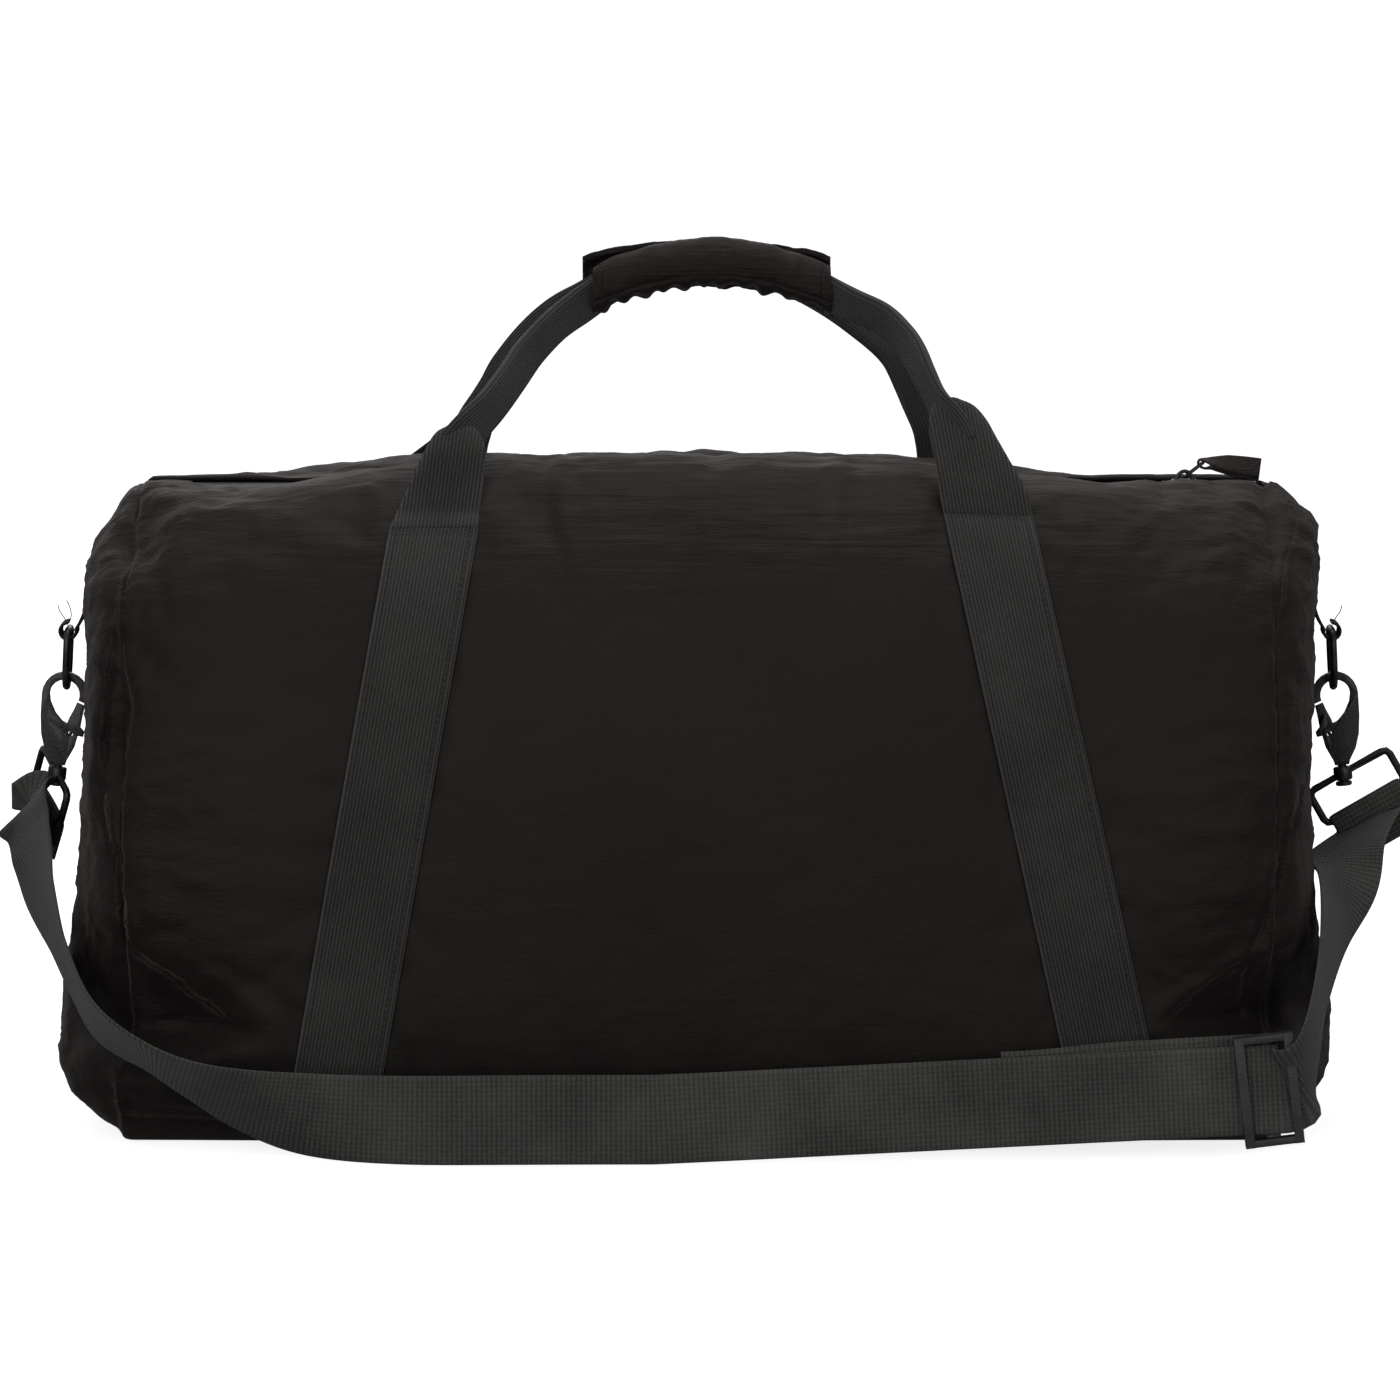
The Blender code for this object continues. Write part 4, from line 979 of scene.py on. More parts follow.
def sewn_strap(node_name, side, x_top, x_low, z_top):
    """Webbing on a long panel. Gives back its top row and its lines of stitching."""
    across = np.linspace(-WEB_W / 2, WEB_W / 2, 25)
    top_arc = upper_arc(z_top + 0.0012)
    arcs = np.append(np.arange(STRAP_START_ARC, top_arc, 0.0022), top_arc)
    middle = strap_x(section_at(arcs)[1], x_top, x_low)
    grid, normal = skin_frame(middle[:, None] + across, arcs[:, None], side)
    off = shell_offset(grid, normal)
    soft = off.copy()
    for _ in range(10):
        soft[1:-1] = (soft[:-2] + 2 * soft[1:-1] + soft[2:]) / 4
        soft[:, 1:-1] = (soft[:, :-2] + 2 * soft[:, 1:-1] + soft[:, 2:]) / 4
    # the webbing lies on the crests of the cloth
    lie = smooth_rows(np.maximum(soft, off) * 0.6 + soft * 0.4 + 0.0003 + WEB_T / 2, 2)
    lie[-3] -= 0.0005
    grid = grid + normal * lie[..., None]
    edges = (-STITCH_EDGE, STITCH_EDGE)
    piece = webbing(node_name + "_webbing", grid, normal, HANDLE_WEB, along=arcs - arcs[0],
                    across=across, grooves=edges)
    fit(piece, "bag", node_name)
    lines = []
    for place in edges:
        j = int(np.argmin(np.abs(across - place)))
        lines.append((grid[:, j] + normal[:, j] * (WEB_T / 2 - 0.0002), normal[:, j]))
    cross = normal[-3, 1:-1]
    lines.append((grid[-3, 1:-1] + cross * (WEB_T / 2 - 0.0001), cross))
    return grid[-1], lines


strap_tops, thread_lines = {}, []
for row in SEWN_STRAPS:
    strap_tops[row[0]], new_lines = sewn_strap(*row)
    thread_lines += new_lines
fit(stitches("strap_stitching", thread_lines), "bag")


# ---------------------------------------------------------------- carry handles
def fold_section():
    """Section of webbing folded lengthwise, in half widths and half thicknesses."""
    rows = [(-1.0, 0.10), (-1.02, 0.55), (-0.97, 0.92), (-0.86, 1.0)]
    rows += [(a, 1.0 + 0.10 * math.cos(a * 1.5)) for a in np.linspace(-0.7, 0.7, 9)]
    rows += [(0.86, 0.98), (0.95, 0.80), (1.01, 0.42), (1.02, 0.0),
             (1.01, -0.42), (0.95, -0.80), (0.86, -0.98)]
    rows += [(a, -1.0 - 0.06 * math.cos(a * 1.5)) for a in np.linspace(0.7, -0.7, 9)]
    rows += [(-0.86, -1.0), (-0.97, -0.92), (-1.02, -0.55), (-1.0, -0.10),
             (-0.72, -0.05), (-0.72, 0.05)]
    return np.array(rows)


def folded_strand(name, knots):
    path = np.array(spline(knots, 12))
    path[:, :3] /= 1000
    path[:, 4:] /= 1000
    path, along = dense(path, 0.0016)
    middle = smooth_rows(path[:, :3], 6)
    tangent = unit(np.gradient(middle, axis=0))
    forward = np.array([0, -1.0, 0])
    face = unit(forward - tangent * (tangent @ forward)[:, None])
    up = np.cross(face, tangent)
    up *= np.sign(up[:, 2] + up[:, 0] * 1e-3)[:, None]
    roll = np.radians(smooth_rows(path[:, 3], 4))[:, None]
    width = up * np.cos(roll) + face * np.sin(roll)
    normal = np.cross(tangent, width)
    wobble = np.array([noise.noise(Vector((s * 55.0, len(name) * 1.7, 0.3))) for s in along])
    half_width = path[:, 4] * (1 + 0.05 * wobble)
    half_thick = path[:, 5] * (1 + 0.08 * wobble[::-1])
    section = fold_section()
    verts = (middle[:, None]
             + width[:, None] * (section[None, :, 0] * half_width[:, None])[..., None]
             + normal[:, None] * (section[None, :, 1] * half_thick[:, None])[..., None])
    count, last = len(section), (len(middle) - 1) * len(section)
    faces = []
    for i in range(0, last, count):
        for j in range(count):
            j2 = (j + 1) % count
            faces.append((i + j, i + j2, i + count + j2, i + count + j))
    faces.append(tuple(range(count - 1, -1, -1)))
    faces.append(tuple(last + j for j in range(count)))
    piece = mesh_obj(name, verts.reshape(-1, 3), faces, HANDLE_WEB)
    set_web(piece, sheet(along[:, None], section[None, :, 0] * 0.0093, 0.0))
    return piece


def handle_foot(name, rows, start, side):
    """Flat foot going on from the sewn webbing; its sides fold away towards the top."""
    left, right, depth, height = np.array(spline(rows, 8)).T / 1000
    path, along = dense(
        np.stack([(left + right) / 2, depth, height, (right - left) / 2], axis=1), 0.0011)
    middle_x, depth, height, half = path.T
    cols = 25
    c = np.linspace(-1, 1, cols)
    # where it narrows, its edges turn inwards
    turn = smoothstep((WEB_W / 2 - half) / 0.007)[:, None] * 0.0030 * np.abs(c) ** 4
    # the top edge is folded back
    fold = smoothstep((along - along[-1] + 0.006) / 0.006)[:, None]
    grid = sheet(middle_x[:, None] + half[:, None] * c,
                 side * (depth[:, None] - turn - fold ** 2 * 0.0016),
                 height[:, None] - fold ** 3 * 0.0012 * c ** 2)
    near_start = (1 - smoothstep(along / 0.010))[:, None, None]
    grid = grid + (start - grid[0])[None] * near_start
    normal = sheet_normals(grid)
    normal *= np.sign(normal[..., 1] * side)[..., None]
    piece = webbing(name, grid, normal, HANDLE_WEB)
    # the ribs run straight on and are cut off where the sides fold away
    start_x, end_x = grid[0, cols // 2, 0], grid[-1, cols // 2, 0]
    x, _, z = read_vectors(piece, "co").T
    lean = np.interp(z, height, np.linspace(0, (end_x - start_x) * 0.55, len(height)))
    set_web(piece, sheet(z, x - start_x - lean, 0.0))
    return piece


# Feet: name, sewn webbing, side, rows of left x, right x, distance from the middle plane and
# height, in mm
FEET = [
    ("front_left", "front_strap_left", -1, [
        (-132.6, -94.4, 104.8, 264.2), (-129.0, -93.6, 101.5, 272.6),
        (-125.2, -93.0, 98.6, 281.0), (-121.0, -92.2, 96.0, 290.5),
        (-117.2, -91.8, 93.6, 298.1), (-113.4, -94.2, 90.0, 304.2),
        (-108.0, -97.4, 87.2, 308.4)]),
    ("front_right", "front_strap_right", -1, [
        (103.6, 142.0, 102.0, 269.6), (102.2, 139.2, 100.0, 281.0),
        (100.2, 131.6, 95.6, 294.5), (98.4, 126.6, 92.0, 303.0),
        (98.0, 122.4, 88.6, 310.3), (99.6, 117.4, 85.4, 315.8),
        (101.4, 111.0, 83.4, 319.4)]),
    ("rear_left", "rear_strap_left", 1, [
        (-136.8, -98.4, 102.0, 269.6), (-133.0, -97.0, 100.0, 277.0),
        (-124.0, -96.0, 96.4, 284.5), (-116.4, -95.6, 93.0, 290.4),
        (-111.6, -97.0, 90.6, 294.2)]),
    ("rear_right", "rear_strap_right", 1, [
        (100.6, 139.0, 102.0, 269.6), (99.2, 134.6, 100.0, 277.0),
        (98.0, 126.0, 96.4, 284.5), (97.6, 118.0, 93.0, 290.4),
        (98.6, 111.6, 90.6, 294.2)])]
for key, strap_name, side, rows in FEET:
    body = "front_handle" if side < 0 else "rear_handle"
    foot = handle_foot("handle_foot_" + key, rows, strap_tops[strap_name], side)
    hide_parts(body)
    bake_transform(foot)

# Strands from left to right: x, y, z (mm), roll (degrees), half width, half thickness (mm)
STRANDS = {
    "front_handle": [
        (-105.5, -92.0, 291.0, 4, 9.0, 1.3), (-103.0, -88.8, 299.0, 6, 9.2, 1.7),
        (-97.6, -83.0, 307.0, 22, 8.6, 2.1), (-89.4, -71.0, 315.6, 34, 8.2, 2.2),
        (-81.6, -54.0, 325.4, 36, 8.0, 2.3), (-73.6, -37.0, 336.3, 34, 7.8, 2.3),
        (-62.4, -19.5, 347.1, 30, 7.6, 2.2), (-51.6, -8.2, 354.4, 20, 7.6, 2.1),
        (-38.0, -5.2, 363.0, 8, 7.0, 2.0), (-15.0, -4.9, 371.4, 0, 6.6, 2.0),
        (8.0, -4.9, 373.0, 0, 6.6, 2.0), (34.0, -5.0, 369.4, 8, 6.8, 2.0),
        (50.0, -6.0, 362.6, 20, 7.4, 2.1), (60.0, -9.4, 357.6, 28, 7.6, 2.2),
        (77.6, -26.0, 350.6, 40, 8.0, 2.3), (87.6, -44.0, 342.6, 46, 8.0, 2.3),
        (93.2, -58.0, 334.6, 50, 7.8, 2.3), (97.4, -71.0, 326.4, 56, 7.2, 2.2),
        (101.4, -80.5, 317.8, 50, 7.0, 2.0), (106.6, -87.0, 309.0, 20, 8.2, 1.7),
        (110.0, -91.5, 300.0, 4, 9.0, 1.3)],
    "rear_handle": [
        (-105.5, 96.0, 276.0, -2, 9.0, 1.3), (-104.0, 92.0, 285.0, -4, 9.0, 1.3),
        (-102.0, 86.0, 292.0, -10, 8.8, 1.7), (-98.0, 74.0, 301.0, -26, 8.4, 2.1),
        (-91.8, 58.0, 311.8, -36, 8.2, 2.2), (-86.0, 42.0, 323.6, -38, 8.0, 2.3),
        (-75.4, 25.0, 337.6, -36, 7.8, 2.3), (-63.0, 13.0, 349.6, -26, 7.6, 2.2),
        (-50.5, 7.6, 356.6, -12, 7.4, 2.1), (-38.0, 5.2, 363.8, -6, 7.0, 2.0),
        (-15.0, 4.9, 371.0, 0, 6.6, 2.0), (8.0, 4.9, 372.0, 0, 6.6, 2.0),
        (34.0, 5.0, 368.0, -4, 6.8, 2.0), (46.0, 6.0, 362.0, -12, 7.4, 2.1),
        (58.0, 10.0, 355.0, -24, 7.6, 2.2), (73.0, 24.0, 343.0, -38, 7.6, 2.3),
        (85.2, 40.0, 331.0, -36, 7.8, 2.3), (92.8, 56.0, 317.6, -28, 8.2, 2.3),
        (98.8, 71.0, 305.0, -18, 8.5, 2.1), (103.6, 82.0, 295.0, -8, 9.0, 1.7),
        (105.6, 90.0, 286.0, -4, 9.0, 1.3), (106.6, 96.0, 276.0, -2, 9.0, 1.3)]}
for body, knots in STRANDS.items():
    fit(folded_strand(body + "_strand", knots), body, body)

# ---------------------------------------------------------------- padded wrap on the grip
# Middle line of each leaf: left x, right x, height, drop of its ends
FRONT_GRIP = (-0.0466, 0.0570, 0.3730, 0.0125)
REAR_GRIP = (-0.0514, 0.0572, 0.3722, 0.0068)
GRIP_GAP, GRIP_DEPTH = 0.0009, 0.0150   # nearest and furthest from the middle plane
HEM_SEAM = -0.36                        # the leaf's lower seam, in half widths


def grip_line(x, left, right, height, arch):
    """Share of the half length and height of the leaf's middle line at x."""
    share = (x - (left + right) / 2) / ((right - left) / 2)
    return share, height - arch * np.abs(share) ** 1.9


def grip_leaf(node_name, side, line, half_height, body, frill):
    """Half of the wrap, bulging away from the middle plane; frill scales its ruffled hem."""
    count, around = 150, 44
    xs = np.linspace(line[0], line[1], count)
    share, middle_z = (part[:, None] for part in grip_line(xs, *line))
    v = np.linspace(-1, 1, around)
    angle = v * math.pi / 2 * 1.02
    rise = np.sin(angle)
    pinch = 1 - 0.10 * smoothstep((np.abs(share) - 0.90) / 0.10)
    hem = 0.05 * np.exp(-((np.abs(share) - 0.93) / 0.012) ** 2)
    bulge = np.maximum(np.cos(angle), 0.0) ** 0.72 * (pinch - hem)
    places = sheet(
        xs[:, None], side * (GRIP_GAP + (GRIP_DEPTH - GRIP_GAP) * bulge),
        middle_z + half_height * np.sign(rise) * np.abs(rise) ** 0.92 * (pinch * 0.4 + 0.6))

    def noise_along(scale, second, third):
        return np.array([noise.noise(Vector((x * scale, second, third))) for x in xs])
    crumple = np.array([[
        noise.fractal(Vector((x * 95, place * 1.1 + 4 * side, 0.7)), 1.0, 2.0, 3)
        for place in v] for x in xs])
    flutter = np.sin(xs * 720 + 2.2 * noise_along(60, side * 3.0, 1.0))[:, None]
    ruffle = noise_along(120, 5.0, side)[:, None]
    low = smoothstep((-v - 0.28) / 0.5)
    seam = np.exp(-((v - HEM_SEAM - 0.05 * share ** 2) / 0.045) ** 2)
    puff = 0.00075 * crumple + frill * (
        flutter * 0.00085 * low + 0.0022 * low * ruffle - 0.00110 * seam)
    normal = sheet_normals(places)
    outward = (normal[..., 1] * places[..., 1]
               + normal[..., 2] * (places[..., 2] - middle_z))
    normal *= np.sign(outward)[..., None]
    places = places + normal * puff[..., None]
    wave = 0.0011 * np.sin(xs * 390 + 1.3) + 0.0007 * noise_along(120, 9.0, side)
    places[..., 2] += frill * wave[:, None] * smoothstep((-v - 0.80) / 0.2)
    faces = [(i + j, i + j + 1, i + around + j + 1, i + around + j)
             for i in range(0, (count - 1) * around, around) for j in range(around - 1)]
    leaf = mesh_obj(node_name + "_cloth", places.reshape(-1, 3), faces, NYLON)
    mesh = leaf.data
    if mesh.polygons[len(mesh.polygons) // 2].normal.y * side < 0:
        mesh.flip_normals()
    padding = leaf.modifiers.new("padding", "SOLIDIFY")
    padding.thickness = 0.0021
    padding.offset = -1
    bevel = leaf.modifiers.new("hem", "BEVEL")
    bevel.width = 0.0007
    bevel.segments = 2
    bevel.limit_method = "ANGLE"
    bevel.angle_limit = math.radians(50)
    apply_modifiers(leaf)
    fit(leaf, body, node_name)
    j = int(np.argmin(np.abs(v - HEM_SEAM)))
    runs = [(slice(2, -2), j)]
    runs += [(int(count * part), slice(3, -3)) for part in (0.035, 0.965)]
    lines = [(places[run] + normal[run] * 0.0001, normal[run]) for run in runs]
    thread = stitches(node_name + "_stitching", lines, pitch=0.0026, length=0.0019,
                      width=0.00045)
    fit(thread, body)


def grip_strip(node_name, side, body):
    """Hook or loop strip inside the wrap, below the front leaf's middle line."""
    width = 0.0052
    xs = np.linspace(-0.036, 0.042, 80)
    across = np.linspace(0.0, 1.0, 6) * width
    low_z = grip_line(xs, *FRONT_GRIP)[1] - 0.0088
    grid = sheet(xs[:, None], side * 0.0013, low_z[:, None] + across)
    strip = webbing(node_name + "_pile", grid, np.array([0, side, 0]), TAPE, thick=0.0009,
                    along=xs, across=across)
    fit(strip, body, node_name)


grip_leaf("grip_leaf_front", -1, FRONT_GRIP, 0.0106, "front_handle", frill=1.0)
grip_leaf("grip_leaf_rear", 1, REAR_GRIP, 0.0104, "rear_handle", frill=0.35)
grip_strip("grip_hook_strip", -1, "front_handle")
grip_strip("grip_loop_strip", 1, "rear_handle")

# ---------------------------------------------------------------- shoulder strap
RING_X, RING_Z, EYE_Z = 0.2765, 0.2115, 0.1910      # D-rings, and eyes of the snap hooks
RUN_RISE, STRAP_Y = 0.050, -0.1690                  # slope and y of the run before the front
HALF_W, LOOP_HALF_W = WEB_W / 2, 0.0174             # narrower in the swivel loops
BAR_R = 0.0017
RUN_UP = Vector((-RUN_RISE, 0, 1)).normalized()

# Strap from the left loop down to the run: x, y, z, width direction, half width
LEFT_FALL = [
    (-0.2950, -0.0085, 0.1345, 0.50, -0.70, 0.48, 0.0182),
    (-0.2925, -0.0220, 0.1240, 0.48, -0.84, 0.20, 0.0184),
    (-0.2885, -0.0380, 0.1110, 0.36, -0.90, 0.12, HALF_W),
    (-0.2810, -0.0680, 0.0945, 0.20, -0.94, 0.16, HALF_W),
    (-0.2700, -0.1080, 0.0775, 0.10, -0.92, 0.30, HALF_W),
    (-0.2560, -0.1440, 0.0615, 0.06, -0.90, 0.40, HALF_W),
    (-0.2376, -0.1630, 0.0490, 0.06, -0.89, 0.42, HALF_W),
    (-0.2150, -0.1680, 0.0365, 0.08, -0.80, 0.58, HALF_W),
    (-0.1900, STRAP_Y, 0.0275, 0.08, -0.55, 0.82, HALF_W),
    (-0.1620, STRAP_Y, 0.0224, 0.05, -0.22, 0.97, HALF_W),
    (-0.1250, STRAP_Y, 0.0206, 0.0, -0.04, 1.0, HALF_W),
    (-0.0850, STRAP_Y, 0.0205, 0, 0, 1, HALF_W)]
RUN_X = (-0.06, -0.04, -0.02, 0.0, 0.06, 0.12, 0.18, 0.230, 0.2490)
# From the run up to the right loop, same columns
RIGHT_RISE = [
    (0.2545, -0.1668, 0.0390, -0.06, -0.20, 0.98, HALF_W),
    (0.2602, -0.1510, 0.0545, -0.08, -0.40, 0.91, HALF_W),
    (0.2665, -0.1160, 0.0765, -0.10, -0.45, 0.88, HALF_W),
    (0.2735, -0.0740, 0.0985, -0.38, -0.32, 0.86, HALF_W),
    (0.2806, -0.0320, 0.1170, -0.90, 0.20, -0.17, 0.0182)]


def loop_bar(sign):
    """Middle, direction and downward axis of the bar of a swivel loop."""
    hook = (Matrix.Translation((sign * (RING_X + 0.0012), 0, EYE_Z))
            @ Matrix.Rotation(-sign * math.radians(6.0), 4, "Y")
            @ Matrix.Scale(sign, 4, Vector((1, 0, 0))))
    turn = 0.0 if sign > 0 else math.radians(66)
    loop = (hook @ Matrix.Translation((0, 0, -0.0430)) @ Matrix.Rotation(turn, 4, "Z")
            @ Matrix.Rotation(-math.radians(24), 4, "Y"))
    axes = loop.to_3x3()
    return (loop @ Vector((0.0024, 0, -0.0165)), (axes @ Vector((1, 0, 0))).normalized(),
            (axes @ Vector((0, 0, -1))).normalized())


def wrap(bar, direction, down, tail):
    """Strap round a bar, from its folded end of length tail to where it leaves."""
    out = direction.cross(down).normalized()
    radius = BAR_R + 0.0006 + WEB_T / 2
    points = [bar + down * tail - out * (radius - 0.0006),
              bar + down * (tail * 0.5) - out * (radius - 0.0003),
              bar + down * 0.005 - out * radius]
    for degrees in range(0, 181, 15):
        angle = math.radians(degrees)
        points.append(bar - out * radius * math.cos(angle) - down * radius * math.sin(angle))
    points.append(bar + down * 0.007 + out * radius)
    return [tuple(point) + tuple(direction) + (LOOP_HALF_W,) for point in points]


def run_z(x):
    return 0.0205 + RUN_RISE * np.maximum(x + 0.02, 0.0)


def strap_path():
    left = wrap(*loop_bar(-1), tail=0.019)
    right = [row[:3] + tuple(-Vector(row[3:6])) + row[6:]
             for row in reversed(wrap(*loop_bar(1), tail=0.020))]
    run = [(x, STRAP_Y, run_z(x)) + ((0, 0, 1) if x < -0.02 else tuple(RUN_UP)) + (HALF_W,)
           for x in RUN_X]
    return np.array(
        left[:-1] + spline([left[-1]] + LEFT_FALL, 10) + run[:-1]
        + spline([run[-1]] + RIGHT_RISE + [right[0]], 10) + right[1:], float)


def shoulder_strap():
    path, along = dense(strap_path(), 0.0022)
    middle = smooth_rows(path[:, :3], 2)
    width, normal = path_frames(middle, path[:, 3:6])
    c = np.linspace(-1, 1, 27)
    grid = middle[:, None] + width[:, None] * (path[:, 6][:, None] * c)[..., None]
    # a slow wave, gone near the slider's travel and the loops
    calm = np.interp(middle[:, 0], [-0.31, -0.27, -0.20, 0.0, 0.04], [0.0, 1.0, 1.0, 0.8, 0.0])
    wave = (0.0013 * np.sin(along * 38.0)[:, None] * c ** 2
            + 0.0009 * np.sin(along * 23.0 + 1.0)[:, None] * c)
    grid = grid + normal[:, None] * (wave * calm[:, None])[..., None]
    grid[..., 2] = np.maximum(grid[..., 2], 0.0012)
    normal = sheet_normals(grid)
    strap = webbing("shoulder_strap_webbing", grid, normal, STRAP_WEB, along=along,
                    across=c * HALF_W)
    fit(strap, "strap", "shoulder_strap")
    # a row of stitches across each face of the folded ends
    lines = []
    for row in (3, -6):
        for face in (normal[row, 2:-2], -normal[row, 2:-2]):
            lines.append((grid[row, 2:-2] + face * (WEB_T / 2), face))
    thread = stitches("shoulder_strap_stitching", lines, pitch=0.0028, length=0.0020,
                      width=0.0005)
    fit(thread, "strap")
    # free end lying behind the run
    xs = np.linspace(0.128, 0.2440, 60)
    lift = 0.0016 + 0.0022 * smoothstep((xs - 0.135) / 0.05)
    centre = sheet(xs, STRAP_Y + 0.0062 + 0.0010 * np.sin(xs * 60), run_z(xs) + lift)
    grid = centre[:, None] + np.array(RUN_UP) * (c * HALF_W)[:, None]
    free_end = webbing("shoulder_strap_free_end", grid, np.array([0, -1, 0]), STRAP_WEB,
                       along=xs, across=c * HALF_W)
    fit(free_end, "strap")


shoulder_strap()

# ---------------------------------------------------------------- ring tapes with thread ends
# Tape above the ring and raw threads, from the ring's centre (outwards x, z), in mm
TAPE_RISE = [(-10.6, 28.0), (-9.9, 22.0), (-8.9, 16.0), (-7.9, 11.6), (-6.8, 7.5), (-5.2, 3.8)]
TAPE_BEND, TAPE_HALF_W, TAPE_T = 3.6, 0.0095, 0.0014    # bend radius in mm, the rest in metres
THREAD_ENDS = [((0.2, 3.6), (1.6, 6.4), (3.4, 9.0), (4.0, 11.5)),
               ((-0.6, 3.6), (-1.4, 7.0), (-0.8, 10.5), (0.6, 13.4))]


def ring_tape(label, sign):
    angles = [math.radians(165 + 285 * k / 30) for k in range(31)]
    bend = [(TAPE_BEND * math.cos(a), TAPE_BEND * math.sin(a)) for a in angles]
    path = np.array(spline(TAPE_RISE + bend, 2)) / 1000
    points, along = dense(sheet(sign * (RING_X + path[:, 0]), 0.0, RING_Z + path[:, 1]), 0.0005)
    width, normal = path_frames(points, np.tile([0.0, 1.0, 0.0], (len(points), 1)))
    across = TAPE_HALF_W * np.linspace(-1, 1, 15)
    grid = points[:, None] + width[:, None] * across[None, :, None]
    normal = np.repeat(normal[:, None], 15, axis=1)
    tape = webbing("d_ring_tape_" + label, grid, normal, TAPE, thick=TAPE_T, along=along,
                   across=across)
    fit(tape, "bag", "d_ring_tab_" + label)
    k = int(len(points) * 0.12)
    lines = [(grid[k, 1:-1] + face * TAPE_T / 2, face)
             for face in (normal[k, 1:-1], -normal[k, 1:-1])]
    thread = stitches("d_ring_tape_stitching_" + label, lines, pitch=0.0024, length=0.0018,
                      width=0.00045)
    fit(thread, "bag")
    for k, end in enumerate(THREAD_ENDS if sign < 0 else THREAD_ENDS[:1]):
        points = spline([(sign * (RING_X + x / 1000), -0.0086 + 0.003 * k, RING_Z + z / 1000)
                         for x, z in end], 8)
        loose = rod("thread_end_%s_%d" % (label, k), points, 0.00022, THREAD, sides=8)
        fit(loose, "bag")


for label, sign in SIDES:
    ring_tape(label, sign)

# ---------------------------------------------------------------- zipper on top
ZIP_Z, ZIP_TAPE_HALF = 0.2748, 0.2218
COIL_HALF, COIL_PITCH, COIL_STEPS = 0.2215, 0.0019, 9
UPWARD = np.array([0, 0, 1])
# Pull tape, out through the puller and back, in the leaning plane of the pull: x, z in mm
PULL_PATH = [
    (27.8, -17.4), (22.9, -12.0), (17.6, -6.6), (12.8, -1.7), (9.6, 1.7), (7.9, 1.3),
    (7.5, 0.0), (7.9, -1.3), (9.0, -2.7), (11.6, -4.2), (16.6, -8.2), (21.8, -13.4),
    (26.6, -18.6)]


def zip_half(label, side):
    """Tape and coil of one side; the rear coil is half a pitch out of step."""
    xs = np.linspace(-ZIP_TAPE_HALF, ZIP_TAPE_HALF, 320)
    across = side * np.linspace(0.0031, 0.0163, 10)
    tape = webbing("zip_tape_woven_" + label, sheet(xs[:, None], across, ZIP_Z - 0.0001),
                   UPWARD, TAPE, thick=0.0009, along=xs + 0.3, across=across)
    fit(tape, "bag", "zip_tape_" + label)
    turn = np.arange(int(2 * COIL_HALF / COIL_PITCH) * COIL_STEPS) / COIL_STEPS
    shift = COIL_PITCH / 2 if side > 0 else 0
    points = sheet(-COIL_HALF + turn * COIL_PITCH + shift,
                   side * (0.0017 - 0.00105 * np.cos(2 * np.pi * turn)),
                   ZIP_Z + 0.00062 * np.sin(2 * np.pi * turn))
    coil = rod("zip_coil_teeth_" + label, points, 0.00036, PLASTIC, sides=6)
    fit(coil, "bag", "zip_coil_" + label)


def zip_end(label, sign):
    xs = np.linspace(0.2226, 0.2432, 18)
    ys = np.linspace(-0.0160, 0.0160, 22)
    arch = 0.0004 + 0.0006 * np.sin(np.linspace(0, math.pi, 18))
    cloth = webbing("zip_end_cloth_" + label,
                    sheet(sign * xs[:, None], ys, (ZIP_Z + arch)[:, None]), UPWARD, NYLON,
                    thick=0.0012, along=xs, across=ys)
    fit(cloth, "bag", "zip_end_tab_" + label)


def zip_pull():
    lean = (Matrix.Translation((0.2124, 0, ZIP_Z + 0.0042))
            @ Matrix.Rotation(math.radians(-38), 4, "Y"))
    rows = [tuple(lean @ Vector((x / 1000, 0, z / 1000))) + (x / 1000,)
            for x, z in spline(PULL_PATH, 6)]
    path, along = dense(rows, 0.0006)
    out = path[:, 3]
    half = np.interp(out, [0.0074, 0.0092, 0.0125, 0.028], [0.0021, 0.0024, 0.0046, 0.0050])
    twist = np.radians(np.interp(out, [0.0092, 0.0180, 0.0290], [0.0, 46.0, 58.0]))[:, None]
    width, normal = path_frames(path[:, :3], np.cos(twist) * np.array([0, 1, 0])
                                + np.sin(twist) * np.array([0.35, 0.0, 0.94]))
    c = np.linspace(-1, 1, 13)
    grid = path[:, None, :3] + width[:, None] * (half[:, None] * c)[..., None]
    tape = webbing("zip_pull_tape", grid, normal[:, None], NYLON, thick=0.0010, along=along,
                   across=c * 0.0046)
    fit(tape, "zip_pull", "zip_pull_tab")


zip_half("front", -1)
zip_half("rear", 1)
for label, sign in SIDES:
    zip_end(label, sign)
zip_pull()


# ---------------------------------------------------------------- CAD pieces that keep their shape
def dress(name, material, bevel=None):
    piece = NODES[name]
    piece.data.materials.clear()
    piece.data.materials.append(material)
    weld = piece.modifiers.new("weld", "WELD")
    weld.merge_threshold = 0.000004
    if bevel:
        soft = piece.modifiers.new("soft_edges", "BEVEL")
        soft.width = bevel
        soft.segments = 3
        soft.limit_method = "ANGLE"
        soft.angle_limit = math.radians(35)
    piece.data.shade_smooth()


# Node, material, width of the softened edges
PAIRED = [("d_ring_", METAL, None), ("snap_hook_", METAL, 0.0007), ("hook_gate_", METAL, 0.0004),
          ("gate_pin_", PIN, 0.0002), ("gate_spring_", PIN, None),
          ("swivel_loop_", METAL, 0.0003)]
SINGLE = [("zip_slider", METAL, 0.0003), ("zip_puller", METAL, None),
          ("strap_slider", PLASTIC, 0.0008), ("base_board", BOARD, 0.0005),
          ("lining", LINING, None)]
for label, _ in SIDES:
    for stem, material, bevel in PAIRED:
        dress(stem + label, material, bevel)
for row in SINGLE:
    dress(*row)


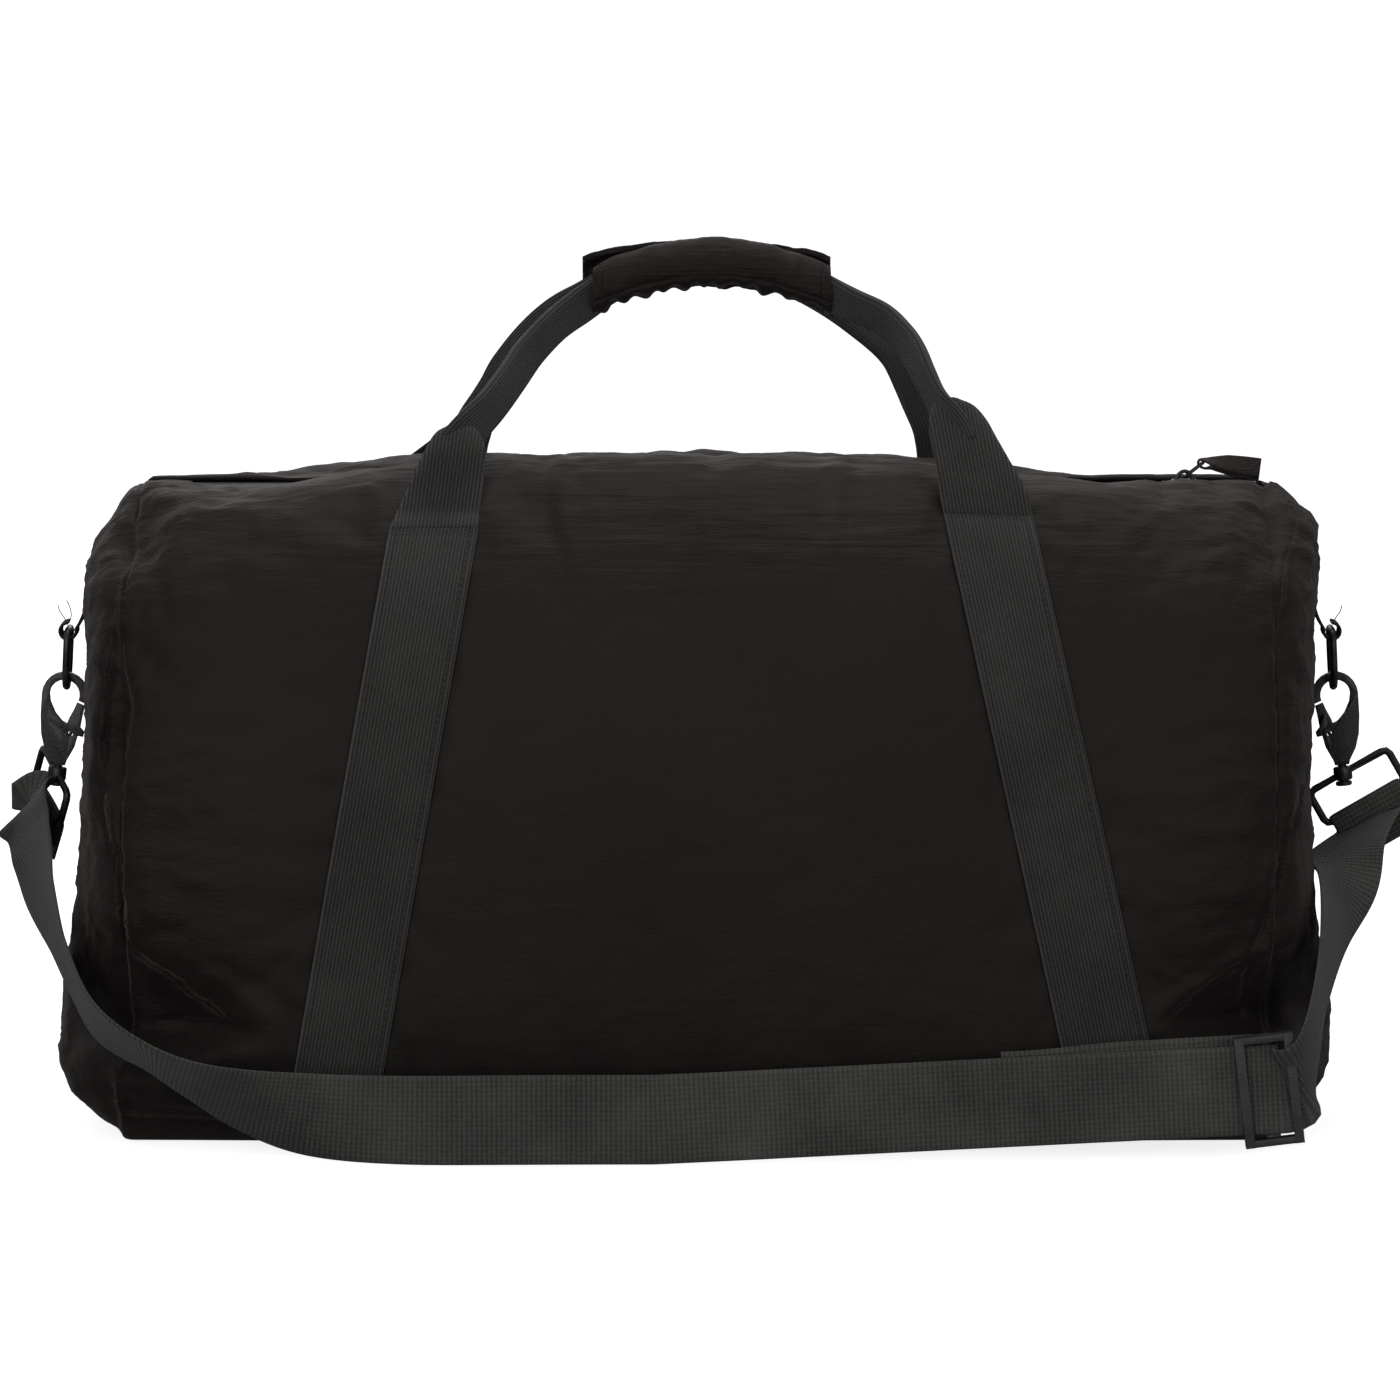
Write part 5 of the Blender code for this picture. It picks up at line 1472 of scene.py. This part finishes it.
# ---------------------------------------------------------------- floor, light and camera
def floor_paper():
    """Glowing white to the camera, dim grey to all other rays."""
    shader = Shader("floor_paper")
    shader.surface(Base_Color=(0.95, 0.95, 0.95, 1), Roughness=0.9, Specular_IOR_Level=0.0,
                   Emission_Color=(1, 1, 1, 1), Emission_Strength=0.82)
    dim = shader.add("ShaderNodeBsdfDiffuse", 0, Color=(0.20, 0.20, 0.20, 1))
    mix = shader.tree.nodes.new("ShaderNodeMixShader")
    feed(shader.tree, shader.add("ShaderNodeLightPath", "Is Camera Ray"), mix.inputs[0])
    feed(shader.tree, dim, mix.inputs[1])
    shader.tree.links.new(shader.bsdf.outputs[0], mix.inputs[2])
    shader.tree.links.new(mix.outputs[0], shader.output.inputs[0])
    return shader.material


def build_floor():
    mesh = bpy.data.meshes.new("floor")
    work = bmesh.new()
    bmesh.ops.create_grid(work, x_segments=1, y_segments=1, size=6.0)
    work.to_mesh(mesh)
    work.free()
    floor = link_object("floor", mesh)
    mesh.materials.append(floor_paper())


WORLD_SEEN, WORLD_LIGHT = 1.1, 0.30     # strength to the camera and to all other rays


def build_world():
    world = bpy.data.worlds.new("studio")
    SCENE.world = world
    world.use_nodes = True
    tree = world.node_tree
    background = tree.nodes["Background"]
    background.inputs["Color"].default_value = (1, 1, 1, 1)
    rays = tree.nodes.new("ShaderNodeLightPath")
    seen = Value(tree, rays.outputs["Is Camera Ray"])
    strength = seen.math("MULTIPLY_ADD", WORLD_SEEN - WORLD_LIGHT, WORLD_LIGHT)
    feed(tree, strength, background.inputs["Strength"])


def aim_at(piece, place, target):
    piece.location = place
    aim = Vector(target) - Vector(place)
    piece.rotation_euler = aim.to_track_quat("-Z", "Y").to_euler()


# Square area lights: name, place, target, side, power in watts
LIGHTS = [("key", (-0.8, -2.3, 0.60), (0, 0, 0.15), 1.2, 15),
          ("fill", (1.3, -2.1, 0.22), (0, 0, 0.12), 1.1, 11),
          ("top", (0.1, 0.10, 2.0), (0, 0, 0.2), 1.0, 10),
          ("back", (-0.4, 2.3, 0.9), (0, 0, 0.15), 1.2, 5)]
CAMERA_DIST, CAMERA_RISE = 4.0, math.radians(6.2)
CAMERA_AIM = Vector((0.0, 0.0, 0.1805))
SENSOR = 36.0
VIEW_WIDTH, VIEW_NEARER = 0.6048, 0.06  # width in view, on a plane this much before the aim

build_floor()
build_world()
for name, place, target, size, power in LIGHTS:
    light = bpy.data.lights.new(name, "AREA")
    light.shape = "RECTANGLE"
    light.size = light.size_y = size
    light.energy = power
    aim_at(link_object(name, light), place, target)

SCENE.view_settings.view_transform = "Standard"
SCENE.view_settings.look = "None"

lens = bpy.data.cameras.new("camera")
lens.sensor_width = SENSOR
lens.lens = SENSOR * (CAMERA_DIST - VIEW_NEARER) / VIEW_WIDTH
lens.clip_start = 0.05
camera = link_object("camera", lens)
backwards = Vector((0, -math.cos(CAMERA_RISE), math.sin(CAMERA_RISE)))
aim_at(camera, CAMERA_AIM + backwards * CAMERA_DIST, CAMERA_AIM)
SCENE.camera = camera
